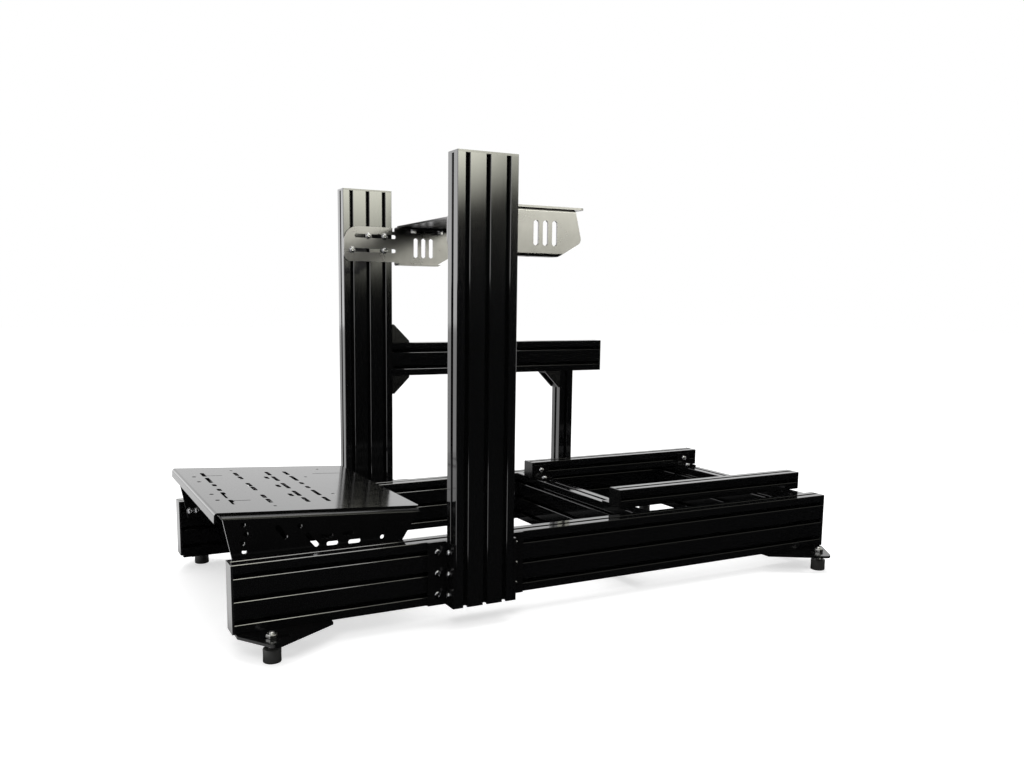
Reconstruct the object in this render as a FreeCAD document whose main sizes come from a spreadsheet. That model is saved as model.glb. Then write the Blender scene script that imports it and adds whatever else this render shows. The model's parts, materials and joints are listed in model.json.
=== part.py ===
import FreeCAD, Part
import math
import os
import Sketcher
from FreeCAD import Placement, Rotation, Vector

# Sim racing cockpit: an open frame of 40 mm T-slot extrusions with bent steel plates.
# Frame: +X runs from the pedal end to the seat end, +Y to the driver's right, +Z up.
# The origin lies on the floor, under the middle of the whole rig.

# Driving dimensions in millimetres and degrees: alias, value, meaning.
DIMENSIONS = [
    ("unit", 40, "side of one extrusion unit"),
    ("slot_opening", 8.2, "width of a T-slot's mouth"),
    ("lip_chamfer", 0.8, "bevel along a slot's mouth"),
    ("lip_thickness", 4.5, "thickness of the lips that hold a T-nut"),
    ("chamber_width", 20, "width of the T-slot's chamber under the lips"),
    ("chamber_depth", 12.25, "depth of the T-slot from the outer face"),
    ("chamber_floor", 9, "width of the chamber's floor"),
    ("core_bore", 6.8, "bore along the middle of each unit"),
    ("cavity_width", 31, "width of the hollow between two units"),
    ("cavity_end", 9, "height of that hollow at its ends"),
    ("cavity_waist", 10, "width of its tall middle"),
    ("cavity_height", 26, "height of its middle"),
    ("corner_bevel", 1, "bevel of an extrusion's outer corners"),
    ("cap_thickness", 4, "thickness of a plastic end cap"),
    ("rail_length", 1350, "length of a base rail"),
    ("clear_width", 500, "distance between the base rails"),
    ("upright_station", 389, "front face of the uprights behind the rails' front ends"),
    ("upright_height", 811, "height of an upright"),
    ("angle_leg", 40, "leg of the angle brackets beside an upright"),
    ("angle_thickness", 5, "thickness of those brackets"),
    ("bolt_clearance", 8.4, "clearance hole for an M8 bolt"),
    ("seat_station", 838, "front face of the front seat cross member"),
    ("rear_cross_setback", 20, "rear cross member ahead of the rails' rear ends"),
    ("seat_rail_gap", 336, "distance between the seat rails"),
    ("seat_angle_leg", 32, "leg of the brackets that hold a seat rail"),
    ("seat_angle_thickness", 4, "thickness of those brackets"),
    ("arm_length", 600, "length of the shifter arm"),
    ("post_height", 378, "height of the shifter post"),
    ("post_setback", 83, "rear face of the post ahead of the arm's rear end"),
    ("gusset_leg", 44, "leg of a corner gusset"),
    ("gusset_wall", 4.5, "thickness of a gusset's legs"),
    ("gusset_cheek", 4, "thickness of a gusset's side cheeks"),
    ("deck_height", 641.5, "underside of the wheel deck above the rails' undersides"),
    ("deck_wall", 4, "thickness of the wheel deck's sheet"),
    ("deck_side_height", 88.5, "height of a deck side plate"),
    ("deck_side_step", 8, "rise of a side plate's lower edge beside the upright"),
    ("deck_side_top_length", 265, "length of a side plate's top edge"),
    ("deck_side_nose", 280, "rearmost point of a side plate before its rounding"),
    ("deck_side_nose_height", 28.5, "height of that point"),
    ("deck_side_foot_length", 229, "length of a side plate's bottom edge"),
    ("deck_flange", 26, "width of a side plate's flanges"),
    ("deck_bend", 6, "outer radius of the deck's bends"),
    ("deck_top_round", 34, "rounding of a side plate's top front corner"),
    ("deck_foot_round", 16, "rounding of a side plate's bottom front corner"),
    ("deck_rear_round", 12, "rounding of a side plate's rear corner"),
    ("deck_relief_length", 6, "length of the relief notch beside a flange"),
    ("deck_relief_depth", 9, "depth of that notch"),
    ("deck_slot_width", 9, "width of the deck's adjusting slots"),
    ("deck_slot_end", 129, "rear end of those slots behind the upright's front face"),
    ("deck_upper_slot_start", 26, "front end of the upper slot"),
    ("deck_upper_slot_height", 67, "height of the upper slot"),
    ("deck_lower_slot_start", 12, "front end of the lower slot"),
    ("deck_lower_slot_height", 34, "height of the lower slot"),
    ("deck_window_station", 200, "middle of the three upright windows"),
    ("deck_window_height", 43, "height of the windows' middle"),
    ("deck_window_length", 46, "length of a window"),
    ("deck_window_width", 11, "width of a window"),
    ("deck_window_pitch", 20, "distance between windows"),
    ("deck_plate_setback", 11, "front edge of the deck plate behind the uprights"),
    ("deck_plate_depth", 155, "fore-and-aft size of the deck plate"),
    ("deck_plate_round", 8, "rounding of the deck plate's corners"),
    ("wheel_slot_length", 70, "length of a slot for a wheel base"),
    ("wheel_slot_width", 8.4, "width of a slot for a wheel base"),
    ("wheel_slot_inner", 40, "inner wheel slots from the middle"),
    ("wheel_slot_middle", 95, "middle wheel slots from the middle"),
    ("wheel_slot_outer", 205, "outer wheel slots from the middle"),
    ("deck_bolt_inset", 13, "deck plate bolts inside its side edge"),
    ("deck_bolt_front", 38, "front deck plate bolts behind its front edge"),
    ("deck_bolt_spacing", 70, "distance between the front and rear deck bolts"),
    ("pedal_overhang", 18.5, "front of the pedal plate ahead of the rails"),
    ("pedal_tip_height", 60.3, "lower edge of its lip above the rails"),
    ("pedal_tilt", 3.2, "slope of the pedal plate, lower at the rear"),
    ("pedal_length", 376, "length of the pedal plate along its slope"),
    ("pedal_width", 466, "width of the pedal plate"),
    ("pedal_wall", 4, "thickness of the pedal plate"),
    ("pedal_lip", 18, "height of its front lip"),
    ("pedal_bend", 6, "outer radius of the lip's bend"),
    ("pedal_slot_width", 8.4, "width of the pedal plate's slots"),
    ("pedal_row_one", 49, "first row of slots behind the lip"),
    ("pedal_row_two", 116, "second row"),
    ("pedal_row_three", 184, "third row"),
    ("pedal_row_four", 223, "fourth row"),
    ("pedal_row_short", 169, "row of short slots"),
    ("pedal_hole_row", 27, "row of round holes"),
    ("pedal_hole_inner", 66, "inner round holes from the middle"),
    ("pedal_hole_outer", 123, "outer round holes from the middle"),
    ("pedal_cable_slot", 3, "width of the thin cable slots"),
    ("pedal_small_hole", 6.3, "width of the small holes"),
    ("pedal_bracket_wall", 5, "thickness of a pedal bracket"),
    ("pedal_bracket_flange", 42, "width of its flange under the pedal plate"),
    ("pedal_bracket_bend", 7, "outer radius of its bend"),
    ("pedal_bracket_front", -8, "top front corner from the rails' front ends"),
    ("pedal_bracket_rear", 352, "top rear corner"),
    ("pedal_bracket_toe", 14, "bottom front corner"),
    ("pedal_bracket_heel", 294, "bottom rear corner"),
    ("pedal_bracket_drop", 36, "bottom edge under the rail's top"),
    ("foot_stand", 36.5, "underside of the foot plates above the floor"),
    ("foot_plate_thickness", 5, "thickness of a foot plate"),
    ("foot_plate_front", 2, "foot plate's edge behind the rail's end"),
    ("foot_plate_shoulder", 8, "end edge's reach outside the rail"),
    ("foot_plate_reach", 80, "apex outside the rail before its rounding"),
    ("foot_plate_apex", 50, "apex behind the rail's end"),
    ("foot_plate_apex_round", 14, "rounding of the apex"),
    ("foot_plate_heel", 168, "where the long edge meets the rail"),
    ("foot_slot_width", 11, "width of the foot's adjusting slot"),
    ("foot_slot_start", 38, "slot's near end from the rail's end"),
    ("foot_slot_length", 50, "length of that slot"),
    ("foot_bolt_start", 25, "foot plate's first bolt behind the rail's end"),
    ("foot_bolt_spacing", 115, "distance between its two bolts"),
    ("foot_reach", 36, "foot's axis outside the rail"),
    ("front_foot_inset", 53, "front feet's axes behind the rails' front ends"),
    ("rear_foot_inset", 44, "rear feet's axes ahead of the rails' rear ends"),
    ("foot_pad_radius", 15.5, "radius of a rubber foot"),
    ("foot_pad_height", 24, "height of a rubber foot"),
    ("foot_stud_radius", 5, "radius of a foot's threaded stud"),
    ("foot_nut_width", 17, "width of a foot's nuts across their flats"),
    ("foot_nut_height", 6.5, "height of a foot's nuts"),
    ("foot_stud_end", 4, "stud above the upper nut"),
]

# Heights and places that several pieces share, as expressions of the sheet.
RAIL_BOTTOM = "(dims.foot_stand + dims.foot_plate_thickness)"
RAIL_TOP = f"({RAIL_BOTTOM} + 3 * dims.unit)"
INNER_FACE = "(dims.clear_width / 2)"
OUTER_FACE = f"({INNER_FACE} + dims.unit)"
MIDDLE = "((dims.rail_length + dims.cap_thickness - dims.pedal_overhang) / 2)"
UPRIGHT_REAR = "(dims.upright_station + 3 * dims.unit)"
POST_REAR = f"({UPRIGHT_REAR} + dims.arm_length - dims.post_setback)"
ARM_BOTTOM = f"({RAIL_BOTTOM} + dims.post_height)"
DECK_BOTTOM = f"({RAIL_BOTTOM} + dims.deck_height)"
SEAT_RAIL_LENGTH = "(dims.rail_length - dims.seat_station)"
REAR_CROSS = "(dims.rail_length - dims.rear_cross_setback - dims.unit)"

# Directions of an extrusion's own X, Y and Z axes: width, height of the section, and length.
ALONG_X = Rotation(Vector(0, 1, 0), Vector(0, 0, 1), Vector(1, 0, 0))
ALONG_Y = Rotation(Vector(-1, 0, 0), Vector(0, 0, 1), Vector(0, 1, 0))
ALONG_Z = Rotation(Vector(0, 1, 0), Vector(-1, 0, 0), Vector(0, 0, 1))
UNTURNED = Rotation()

doc = FreeCAD.newDocument("sim_racing_cockpit")
nodes = []


def make_sheet():
    """The spreadsheet with every driving dimension and its alias."""
    sheet = doc.addObject("Spreadsheet::Sheet", "dims")
    for row, (alias, number, meaning) in enumerate(DIMENSIONS, start=1):
        sheet.set(f"A{row}", meaning)
        sheet.set(f"B{row}", str(number))
        sheet.setAlias(f"B{row}", alias)
    doc.recompute()
    return sheet


dims = make_sheet()


def value(expression):
    """The present value of an expression of the sheet."""
    return float(dims.evalExpression(expression))


def station(expression):
    """A distance behind the rails' front ends, as an X coordinate."""
    return f"{expression} - {MIDDLE}"


def negative(expression):
    return f"-({expression})"


def new_body(label):
    body = doc.addObject("PartDesign::Body", label)
    body.Label = label
    return body


def finish(thing, x, y, z, rotation=UNTURNED):
    """Places a finished sub-part by expressions and lists it as a node."""
    thing.Placement = Placement(Vector(0, 0, 0), rotation)
    for axis, expression in zip("xyz", (x, y, z)):
        if expression != "0":
            thing.setExpression(f"Placement.Base.{axis}", expression)
    nodes.append(thing)
    return thing


def mirror_across(source, label):
    """The same piece on the driver's other side."""
    twin = doc.addObject("Part::Mirroring", label)
    twin.Label = label
    twin.Source = source
    twin.Normal = Vector(0, 1, 0)
    nodes.append(twin)
    return twin


def origin_part(body, role):
    """One of a body's own origin planes or axes."""
    return next(f for f in body.Origin.OriginFeatures if f.Role == role)


def new_sketch(body, name, plane="XY_Plane"):
    sketch = body.newObject("Sketcher::SketchObject", name)
    sketch.AttachmentSupport = (origin_part(body, plane), [""])
    sketch.MapMode = "FlatFace"
    return sketch


def bind(sketch, kind, first, second, expression):
    """One distance constraint between two (geometry, point) pairs, bound to an expression."""
    amount = value(expression)
    if amount < 0:
        first, second, expression, amount = second, first, negative(expression), -amount
    constraint = Sketcher.Constraint(kind, *first, *second, amount)
    index = sketch.addConstraint(constraint)
    sketch.setExpression(f"Constraints[{index}]", expression)


def fix_point(sketch, point, x, y):
    """Holds a (geometry, point) pair at two expressions from the sketch's origin."""
    root = (-1, 1)
    for kind, expression, axis in (("DistanceX", x, -2), ("DistanceY", y, -1)):
        if expression == "0":
            sketch.addConstraint(Sketcher.Constraint("PointOnObject", *point, axis))
        else:
            bind(sketch, kind, root, point, expression)


def outline(sketch, corners):
    """A closed outline of straight edges, each corner held by a pair of expressions."""
    places = [Vector(value(x), value(y), 0) for x, y in corners]
    first = sketch.GeometryCount
    count = len(places)
    for i in range(count):
        sketch.addGeometry(Part.LineSegment(places[i], places[(i + 1) % count]), False)
    for i in range(count):
        after = (i + 1) % count
        sketch.addConstraint(Sketcher.Constraint("Coincident", first + i, 2, first + after, 1))
    for i, (x, y) in enumerate(corners):
        fix_point(sketch, (first + i, 1), x, y)


def slot_between(sketch, start, end, width):
    """A slot between two centres. Each end has three flat sides, half of an octagon."""
    near_x, near_y = start
    far_x, far_y = end
    run, rise = value(far_x) - value(near_x), value(far_y) - value(near_y)
    heading = round(math.degrees(math.atan2(rise, run)), 6)
    reach = f"{width} / 2 / cos(22.5)"
    corners = []
    for x, y, turns in ((far_x, far_y, (-67.5, -22.5, 22.5, 67.5)),
                        (near_x, near_y, (112.5, 157.5, 202.5, 247.5))):
        for turn in turns:
            corners.append((f"{x} + {reach} * cos({heading + turn})",
                            f"{y} + {reach} * sin({heading + turn})"))
    outline(sketch, corners)


def octagon(sketch, x, y, width):
    """A small hole or rod with eight flat sides, as wide across its flats as the round one."""
    slot_between(sketch, (x, y), (x, y), width)


def slot_across(sketch, x, low, high, width):
    """A slot along the sketch's Y, between its two outer ends."""
    slot_between(sketch, (x, f"{low} + {width} / 2"), (x, f"{high} - {width} / 2"), width)


def slot_along(sketch, y, low, high, width):
    """A slot along the sketch's X, between its two outer ends."""
    slot_between(sketch, (f"{low} + {width} / 2", y), (f"{high} - {width} / 2", y), width)


def pad(body, sketch, length, reverse=False, symmetric=False):
    feature = body.newObject("PartDesign::Pad", sketch.Name + "_pad")
    feature.Profile = sketch
    feature.Reversed = reverse
    if symmetric:
        feature.SideType = "Symmetric"
    feature.setExpression("Length", length)
    sketch.Visibility = False
    doc.recompute()
    return feature


def pocket(body, sketch, length):
    """Cuts a sketch's outline to both sides and makes sure that it took something away."""
    before = body.Shape.Volume
    feature = body.newObject("PartDesign::Pocket", sketch.Name + "_cut")
    feature.Profile = sketch
    feature.SideType = "Symmetric"
    feature.setExpression("Length", length)
    sketch.Visibility = False
    doc.recompute()
    if body.Shape.Volume >= before:
        raise RuntimeError(f"{feature.Name} cuts nothing")
    return feature


def repeat(body, originals, axis, length, count):
    """A linear pattern of features along one of the body's own axes."""
    feature = body.newObject("PartDesign::LinearPattern", originals[0].Name + "_row")
    feature.Originals = originals
    feature.Direction = (origin_part(body, axis), [""])
    feature.setExpression("Length", length)
    feature.Occurrences = count
    body.Tip = feature
    doc.recompute()
    return feature


def reflect(body, originals, plane):
    """Features mirrored about one of the body's own planes."""
    feature = body.newObject("PartDesign::Mirrored", originals[0].Name + "_mirror")
    feature.Originals = originals
    feature.MirrorPlane = (origin_part(body, plane), [""])
    body.Tip = feature
    doc.recompute()
    return feature


def straight_edges(shape, direction, test):
    """Names of a shape's straight edges along a direction whose middle passes a test."""
    names = []
    for number, edge in enumerate(shape.Edges, start=1):
        if not isinstance(edge.Curve, Part.Line):
            continue
        line = edge.Curve.Direction
        if line.cross(direction).Length < 1e-6 and test(edge.CenterOfMass):
            names.append(f"Edge{number}")
    return names


def round_edges(body, radius, direction, test=lambda middle: True):
    """Rounds the tip's straight edges that run along a direction and pass a test."""
    base = body.Tip
    names = straight_edges(base.Shape, direction, test)
    if not names:
        raise RuntimeError(f"{body.Label} has no edge to round")
    feature = body.newObject("PartDesign::Fillet", base.Name + "_round")
    feature.Base = (base, names)
    feature.setExpression("Radius", radius)
    doc.recompute()
    return feature


def near(a, b, slack=0.01):
    return abs(a - b) < slack


# T-slot extrusions

def section_block(body, units):
    """A section's outer outline with bevelled corners, centred on X, upwards from Y = 0."""
    sketch = new_sketch(body, body.Name + "_section")
    side, bevel = "dims.unit / 2", "dims.corner_bevel"
    inset = f"({side} - {bevel})"
    top = f"{units} * dims.unit"
    outline(sketch, [
        (negative(inset), "0"), (inset, "0"), (side, bevel), (side, f"{top} - {bevel}"),
        (inset, top), (negative(inset), top), (negative(side), f"{top} - {bevel}"),
        (negative(side), bevel)])
    return sketch


def t_slot(sketch, face, across, outward, sideways):
    """One T-slot's outline: depth is measured inwards from a face, spread is to both sides."""
    spread_depth = [
        ("dims.slot_opening / 2 + dims.lip_chamfer", "0"),
        ("dims.slot_opening / 2", "dims.lip_chamfer"),
        ("dims.slot_opening / 2", "dims.lip_thickness"),
        ("dims.chamber_width / 2", "dims.lip_thickness"),
        ("dims.chamber_width / 2",
         "dims.chamber_depth - (dims.chamber_width - dims.chamber_floor) / 2"),
        ("dims.chamber_floor / 2", "dims.chamber_depth"),
    ]
    half = [(spread, depth, 1) for spread, depth in spread_depth]
    half += [(spread, depth, -1) for spread, depth in reversed(spread_depth)]
    corners = []
    for spread, depth, side in half:
        inwards = f"{face} - {outward} * ({depth})"
        beside = f"{across} + {side} * ({spread})"
        corners.append((inwards, beside) if sideways else (beside, inwards))
    outline(sketch, corners)


def hollow_between_units(sketch, joint):
    """The eight-sided hollow where two units meet, wide at its middle and low at its ends."""
    half_width, half_end = "dims.cavity_width / 2", "dims.cavity_end / 2"
    half_waist, half_height = "dims.cavity_waist / 2", "dims.cavity_height / 2"
    quarter = [(half_width, half_end), (half_waist, half_height)]
    turns = [(1, 1, quarter), (-1, 1, quarter[::-1]), (-1, -1, quarter), (1, -1, quarter[::-1])]
    outline(sketch, [
        (f"{side} * {x}", f"{joint} * dims.unit + {rise} * {y}")
        for side, rise, corners in turns for x, y in corners])


def extrusion(label, units, length):
    """A T-slot extrusion: section in its own XY plane, length along its own Z."""
    body = new_body(label)
    pad(body, section_block(body, units), length)
    reach = f"{length} * 2 + dims.unit"
    unit_middle = "dims.unit / 2"
    flanks = new_sketch(body, label + "_flank_slots")
    t_slot(flanks, "dims.unit / 2", unit_middle, 1, True)
    t_slot(flanks, "-dims.unit / 2", unit_middle, -1, True)
    flank_cut = pocket(body, flanks, reach)
    bore = new_sketch(body, label + "_bore")
    octagon(bore, "0", unit_middle, "dims.core_bore")
    bore_cut = pocket(body, bore, reach)
    if units > 1:
        repeat(body, [flank_cut, bore_cut], "Y_Axis", f"{units - 1} * dims.unit", units)
        hollows = new_sketch(body, label + "_hollows")
        for joint in range(1, units):
            hollow_between_units(hollows, joint)
        pocket(body, hollows, reach)
    ends = new_sketch(body, label + "_end_slots")
    t_slot(ends, "0", "0", -1, False)
    t_slot(ends, f"{units} * dims.unit", "0", 1, False)
    pocket(body, ends, reach)
    return body


def end_caps(label, units, length=None):
    """A plastic cap over an extrusion's start, or one over each end when a length is given."""
    body = new_body(label)
    plate = pad(body, section_block(body, units), "dims.cap_thickness", reverse=True)
    if length:
        repeat(body, [plate], "Z_Axis", f"{length} + dims.cap_thickness", 2)
    return body


def make_base_rails():
    height = RAIL_BOTTOM
    across = negative(f"{INNER_FACE} + dims.unit / 2")
    rail = extrusion("base_rail_left", 3, "dims.rail_length")
    finish(rail, station("0"), across, height, ALONG_X)
    mirror_across(rail, "base_rail_right")
    caps = end_caps("base_rail_caps_left", 3, "dims.rail_length")
    finish(caps, station("0"), across, height, ALONG_X)
    mirror_across(caps, "base_rail_caps_right")


def make_uprights():
    across = negative(f"{OUTER_FACE} + dims.unit / 2")
    upright = extrusion("upright_left", 3, "dims.upright_height")
    finish(upright, station(UPRIGHT_REAR), across, RAIL_BOTTOM, ALONG_Z)
    mirror_across(upright, "upright_right")
    cap = end_caps("upright_cap_left", 3)
    cap_height = f"{RAIL_BOTTOM} + dims.upright_height + dims.cap_thickness"
    finish(cap, station(UPRIGHT_REAR), across, cap_height, ALONG_Z)
    mirror_across(cap, "upright_cap_right")


def make_cross_members():
    for label, where in (("seat_cross_member_front", "dims.seat_station"),
                         ("seat_cross_member_rear", REAR_CROSS)):
        member = extrusion(label, 3, "dims.clear_width")
        finish(member, station(f"{where} + dims.unit / 2"), negative(INNER_FACE), RAIL_BOTTOM, ALONG_Y)


def make_seat_rails():
    across = negative("(dims.seat_rail_gap + dims.unit) / 2")
    rail = extrusion("seat_rail_left", 1, SEAT_RAIL_LENGTH)
    finish(rail, station("dims.seat_station"), across, RAIL_TOP, ALONG_X)
    mirror_across(rail, "seat_rail_right")
    caps = end_caps("seat_rail_caps_left", 1, SEAT_RAIL_LENGTH)
    finish(caps, station("dims.seat_station"), across, RAIL_TOP, ALONG_X)
    mirror_across(caps, "seat_rail_caps_right")


def make_shifter_support():
    across = f"{OUTER_FACE} + dims.unit / 2"
    arm = extrusion("shifter_arm", 2, "dims.arm_length")
    finish(arm, station(UPRIGHT_REAR), across, ARM_BOTTOM, ALONG_X)
    cap = end_caps("shifter_arm_cap", 2)
    cap_station = f"{UPRIGHT_REAR} + dims.arm_length + dims.cap_thickness"
    finish(cap, station(cap_station), across, ARM_BOTTOM, ALONG_X)
    post = extrusion("shifter_post", 1, "dims.post_height")
    finish(post, station(POST_REAR), across, RAIL_BOTTOM, ALONG_Z)


# Brackets and gussets

def angle_bracket(label, leg, wall, width, ahead, holes):
    """An angle whose heel is its own Z axis. Its holes lie half a unit away, over the T-slots."""
    body = new_body(label)
    sketch = new_sketch(body, label + "_section")
    out = f"{ahead} * ({leg})"
    in_wall = f"{ahead} * ({wall})"
    outline(sketch, [
        ("0", "0"), (out, "0"), (out, negative(wall)), (in_wall, negative(wall)),
        (in_wall, negative(leg)), ("0", negative(leg))])
    pad(body, sketch, width)
    slot_line = "dims.unit / 2"
    beside = new_sketch(body, label + "_side_hole", "XZ_Plane")
    octagon(beside, f"{ahead} * {slot_line}", slot_line, "dims.bolt_clearance")
    side_cut = pocket(body, beside, f"{wall} * 4")
    facing = new_sketch(body, label + "_front_hole", "YZ_Plane")
    octagon(facing, negative(slot_line), slot_line, "dims.bolt_clearance")
    front_cut = pocket(body, facing, f"{wall} * 4")
    if holes > 1:
        repeat(body, [side_cut, front_cut], "Z_Axis", f"{holes - 1} * dims.unit", holes)
    return body


def make_upright_brackets():
    """Angles that join each upright to its rail, ahead of it and behind it."""
    across = negative(OUTER_FACE)
    for name, ahead, where in (("front", -1, "dims.upright_station"), ("rear", 1, UPRIGHT_REAR)):
        bracket = angle_bracket(
            f"upright_bracket_left_{name}", "dims.angle_leg", "dims.angle_thickness",
            "3 * dims.unit", ahead, 3)
        finish(bracket, station(where), across, RAIL_BOTTOM)
        mirror_across(bracket, f"upright_bracket_right_{name}")


def make_seat_rail_brackets():
    """Angles that hold the seat rails' inner sides down on the cross members."""
    turn = Rotation(Vector(0, 0, 1), Vector(0, -1, 0), Vector(1, 0, 0))
    across = negative("dims.seat_rail_gap / 2")
    for name, where in (("front", "dims.seat_station"), ("rear", REAR_CROSS)):
        bracket = angle_bracket(
            f"seat_rail_bracket_left_{name}", "dims.seat_angle_leg", "dims.seat_angle_thickness",
            "dims.unit", 1, 1)
        finish(bracket, station(where), across, RAIL_TOP, turn)
        mirror_across(bracket, f"seat_rail_bracket_right_{name}")


def gusset(label):
    """A cast corner gusset: legs along its own +X and +Y, cheeks across Z = 0."""
    body = new_body(label)
    leg = "dims.gusset_leg"
    wall = "dims.gusset_wall"
    blank = new_sketch(body, label + "_blank")
    outline(blank, [("0", "0"), (leg, "0"), (leg, wall), (wall, leg), ("0", leg)])
    pad(body, blank, "dims.unit", symmetric=True)
    inside = new_sketch(body, label + "_inside")
    outline(inside, [(wall, wall), (leg, wall), (leg, leg), (wall, leg)])
    pocket(body, inside, "dims.unit - 2 * dims.gusset_cheek")
    middle = f"({leg} + {wall}) / 2"
    for name, plane in (("first", "XZ_Plane"), ("second", "YZ_Plane")):
        hole = new_sketch(body, f"{label}_{name}_hole", plane)
        octagon(hole, middle, "0", "dims.bolt_clearance")
        pocket(body, hole, f"4 * {wall}")
    return body


def make_gussets():
    """Gussets above and below the shifter arm's root and under it ahead of the post."""
    across = f"{OUTER_FACE} + dims.unit / 2"
    root = station(UPRIGHT_REAR)
    arm_top = f"{ARM_BOTTOM} + 2 * dims.unit"
    upwards = Rotation(Vector(1, 0, 0), Vector(0, 0, 1), Vector(0, -1, 0))
    downwards = Rotation(Vector(1, 0, 0), Vector(0, 0, -1), Vector(0, 1, 0))
    forwards = Rotation(Vector(-1, 0, 0), Vector(0, 0, -1), Vector(0, -1, 0))
    finish(gusset("shifter_gusset_top"), root, across, arm_top, upwards)
    finish(gusset("shifter_gusset_bottom"), root, across, ARM_BOTTOM, downwards)
    post_front = station(f"{POST_REAR} - dims.unit")
    finish(gusset("shifter_gusset_post"), post_front, across, ARM_BOTTOM, forwards)


# Wheel deck

def deck_side_blank(body):
    """The flat side plate, seen from the side, with relief notches ahead of its flanges."""
    top = "dims.deck_side_height"
    step = "dims.deck_side_step"
    notch_front = "3 * dims.unit"
    flange_start = f"{notch_front} + dims.deck_relief_length"
    sketch = new_sketch(body, body.Name + "_blank", "XZ_Plane")
    outline(sketch, [
        ("0", step), ("0", top),
        (notch_front, top), (notch_front, f"{top} - dims.deck_relief_depth"),
        (flange_start, f"{top} - dims.deck_relief_depth"), (flange_start, top),
        ("dims.deck_side_top_length", top), ("dims.deck_side_nose", "dims.deck_side_nose_height"),
        ("dims.deck_side_foot_length", "0"), (flange_start, "0"), (flange_start, step)])
    return pad(body, sketch, "dims.deck_wall", reverse=True)


def deck_flange(body, name, outer_end, inner_end, outer, inner):
    """A flange bent inwards at the side plate's edge. Its rear end follows the plate's."""
    start = "3 * dims.unit + dims.deck_relief_length"
    sketch = new_sketch(body, f"{body.Name}_{name}", "XZ_Plane")
    outline(sketch, [(start, outer), (outer_end, outer), (inner_end, inner), (start, inner)])
    return pad(body, sketch, "dims.deck_flange", reverse=True)


def make_deck_sides():
    """Bent side plates on the uprights' inner faces, with adjusting slots and windows."""
    body = new_body("wheel_side_plate_left")
    deck_side_blank(body)
    top, nose_height = "dims.deck_side_height", "dims.deck_side_nose_height"
    wall, nose = "dims.deck_wall", "dims.deck_side_nose"
    top_end, foot_end = "dims.deck_side_top_length", "dims.deck_side_foot_length"
    upper_inner = f"{top_end} + ({nose} - {top_end}) * {wall} / ({top} - {nose_height})"
    lower_inner = f"{foot_end} + ({nose} - {foot_end}) * {wall} / {nose_height}"
    deck_flange(body, "top_flange", top_end, upper_inner, top, f"{top} - {wall}")
    deck_flange(body, "bottom_flange", foot_end, lower_inner, "0", wall)
    along, across = Vector(1, 0, 0), Vector(0, 1, 0)
    height, sheet, step = value(top), value(wall), value("dims.deck_side_step")
    upright_depth = value("3 * dims.unit")

    def outside_bend(middle):
        return near(middle.y, 0) and middle.x > upright_depth and (
            near(middle.z, 0) or near(middle.z, height))

    def inside_bend(middle):
        return near(middle.y, sheet) and middle.x > upright_depth and (
            near(middle.z, sheet) or near(middle.z, height - sheet))

    round_edges(body, "dims.deck_bend", along, outside_bend)
    round_edges(body, f"dims.deck_bend - {wall}", along, inside_bend)
    round_edges(body, "dims.deck_top_round", across, lambda m: near(m.x, 0) and near(m.z, height))
    round_edges(body, "dims.deck_foot_round", across, lambda m: near(m.x, 0) and near(m.z, step))
    round_edges(body, "dims.deck_rear_round", across, lambda m: near(m.x, value(nose)))
    slots = new_sketch(body, "deck_side_slots", "XZ_Plane")
    for name in ("upper", "lower"):
        slot_along(slots, f"dims.deck_{name}_slot_height", f"dims.deck_{name}_slot_start",
                   "dims.deck_slot_end", "dims.deck_slot_width")
    for place in (-1, 0, 1):
        reach = "dims.deck_window_length / 2"
        slot_across(slots, f"dims.deck_window_station + {place} * dims.deck_window_pitch",
                    f"dims.deck_window_height - {reach}", f"dims.deck_window_height + {reach}",
                    "dims.deck_window_width")
    pocket(body, slots, "3 * dims.deck_wall")
    holes = new_sketch(body, "deck_flange_holes")
    deck_bolt_holes(holes, "3 * dims.unit + dims.deck_plate_setback", "dims.deck_bolt_inset")
    pocket(body, holes, f"2 * {top} + 2 * dims.deck_wall")
    finish(body, station("dims.upright_station"), negative(OUTER_FACE), DECK_BOTTOM)
    mirror_across(body, "wheel_side_plate_right")


def deck_bolt_holes(sketch, front, across):
    """The two bolt holes beside one edge of the deck plate."""
    for extra in ("0", "dims.deck_bolt_spacing"):
        octagon(sketch, f"{front} + dims.deck_bolt_front + {extra}", across, "dims.bolt_clearance")


def make_deck_plate():
    """The flat plate on the side plates' top flanges, with slots for a wheel base."""
    body = new_body("wheel_deck_plate")
    sketch = new_sketch(body, "deck_plate_outline")
    depth = "dims.deck_plate_depth"
    outline(sketch, [("0", negative(OUTER_FACE)), (depth, negative(OUTER_FACE)),
                     (depth, OUTER_FACE), ("0", OUTER_FACE)])
    pad(body, sketch, "dims.deck_wall")
    round_edges(body, "dims.deck_plate_round", Vector(0, 0, 1))
    slots = new_sketch(body, "deck_plate_slots")
    deck_bolt_holes(slots, "0", f"{OUTER_FACE} - dims.deck_bolt_inset")
    half = "dims.wheel_slot_length / 2"
    for name in ("inner", "middle", "outer"):
        slot_along(slots, f"dims.wheel_slot_{name}", f"{depth} / 2 - {half}", f"{depth} / 2 + {half}",
                   "dims.wheel_slot_width")
    cut = pocket(body, slots, "3 * dims.deck_wall")
    reflect(body, [cut], "XZ_Plane")
    front = f"{UPRIGHT_REAR} + dims.deck_plate_setback"
    finish(body, station(front), "0", f"{DECK_BOTTOM} + dims.deck_side_height")


# Pedal deck

# Slots on one side of the pedal plate's middle, by row: inner and outer ends.
PEDAL_SLOTS = {
    "one": [(14, 35), (50, 109), (124, 166)],
    "two": [(2.5, 40), (84, 116), (125, 162)],
    "three": [(55, 108), (122, 166)],
    "four": [(11, 33), (52, 108), (124, 166)],
    "short": [(82, 108)],
}
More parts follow.
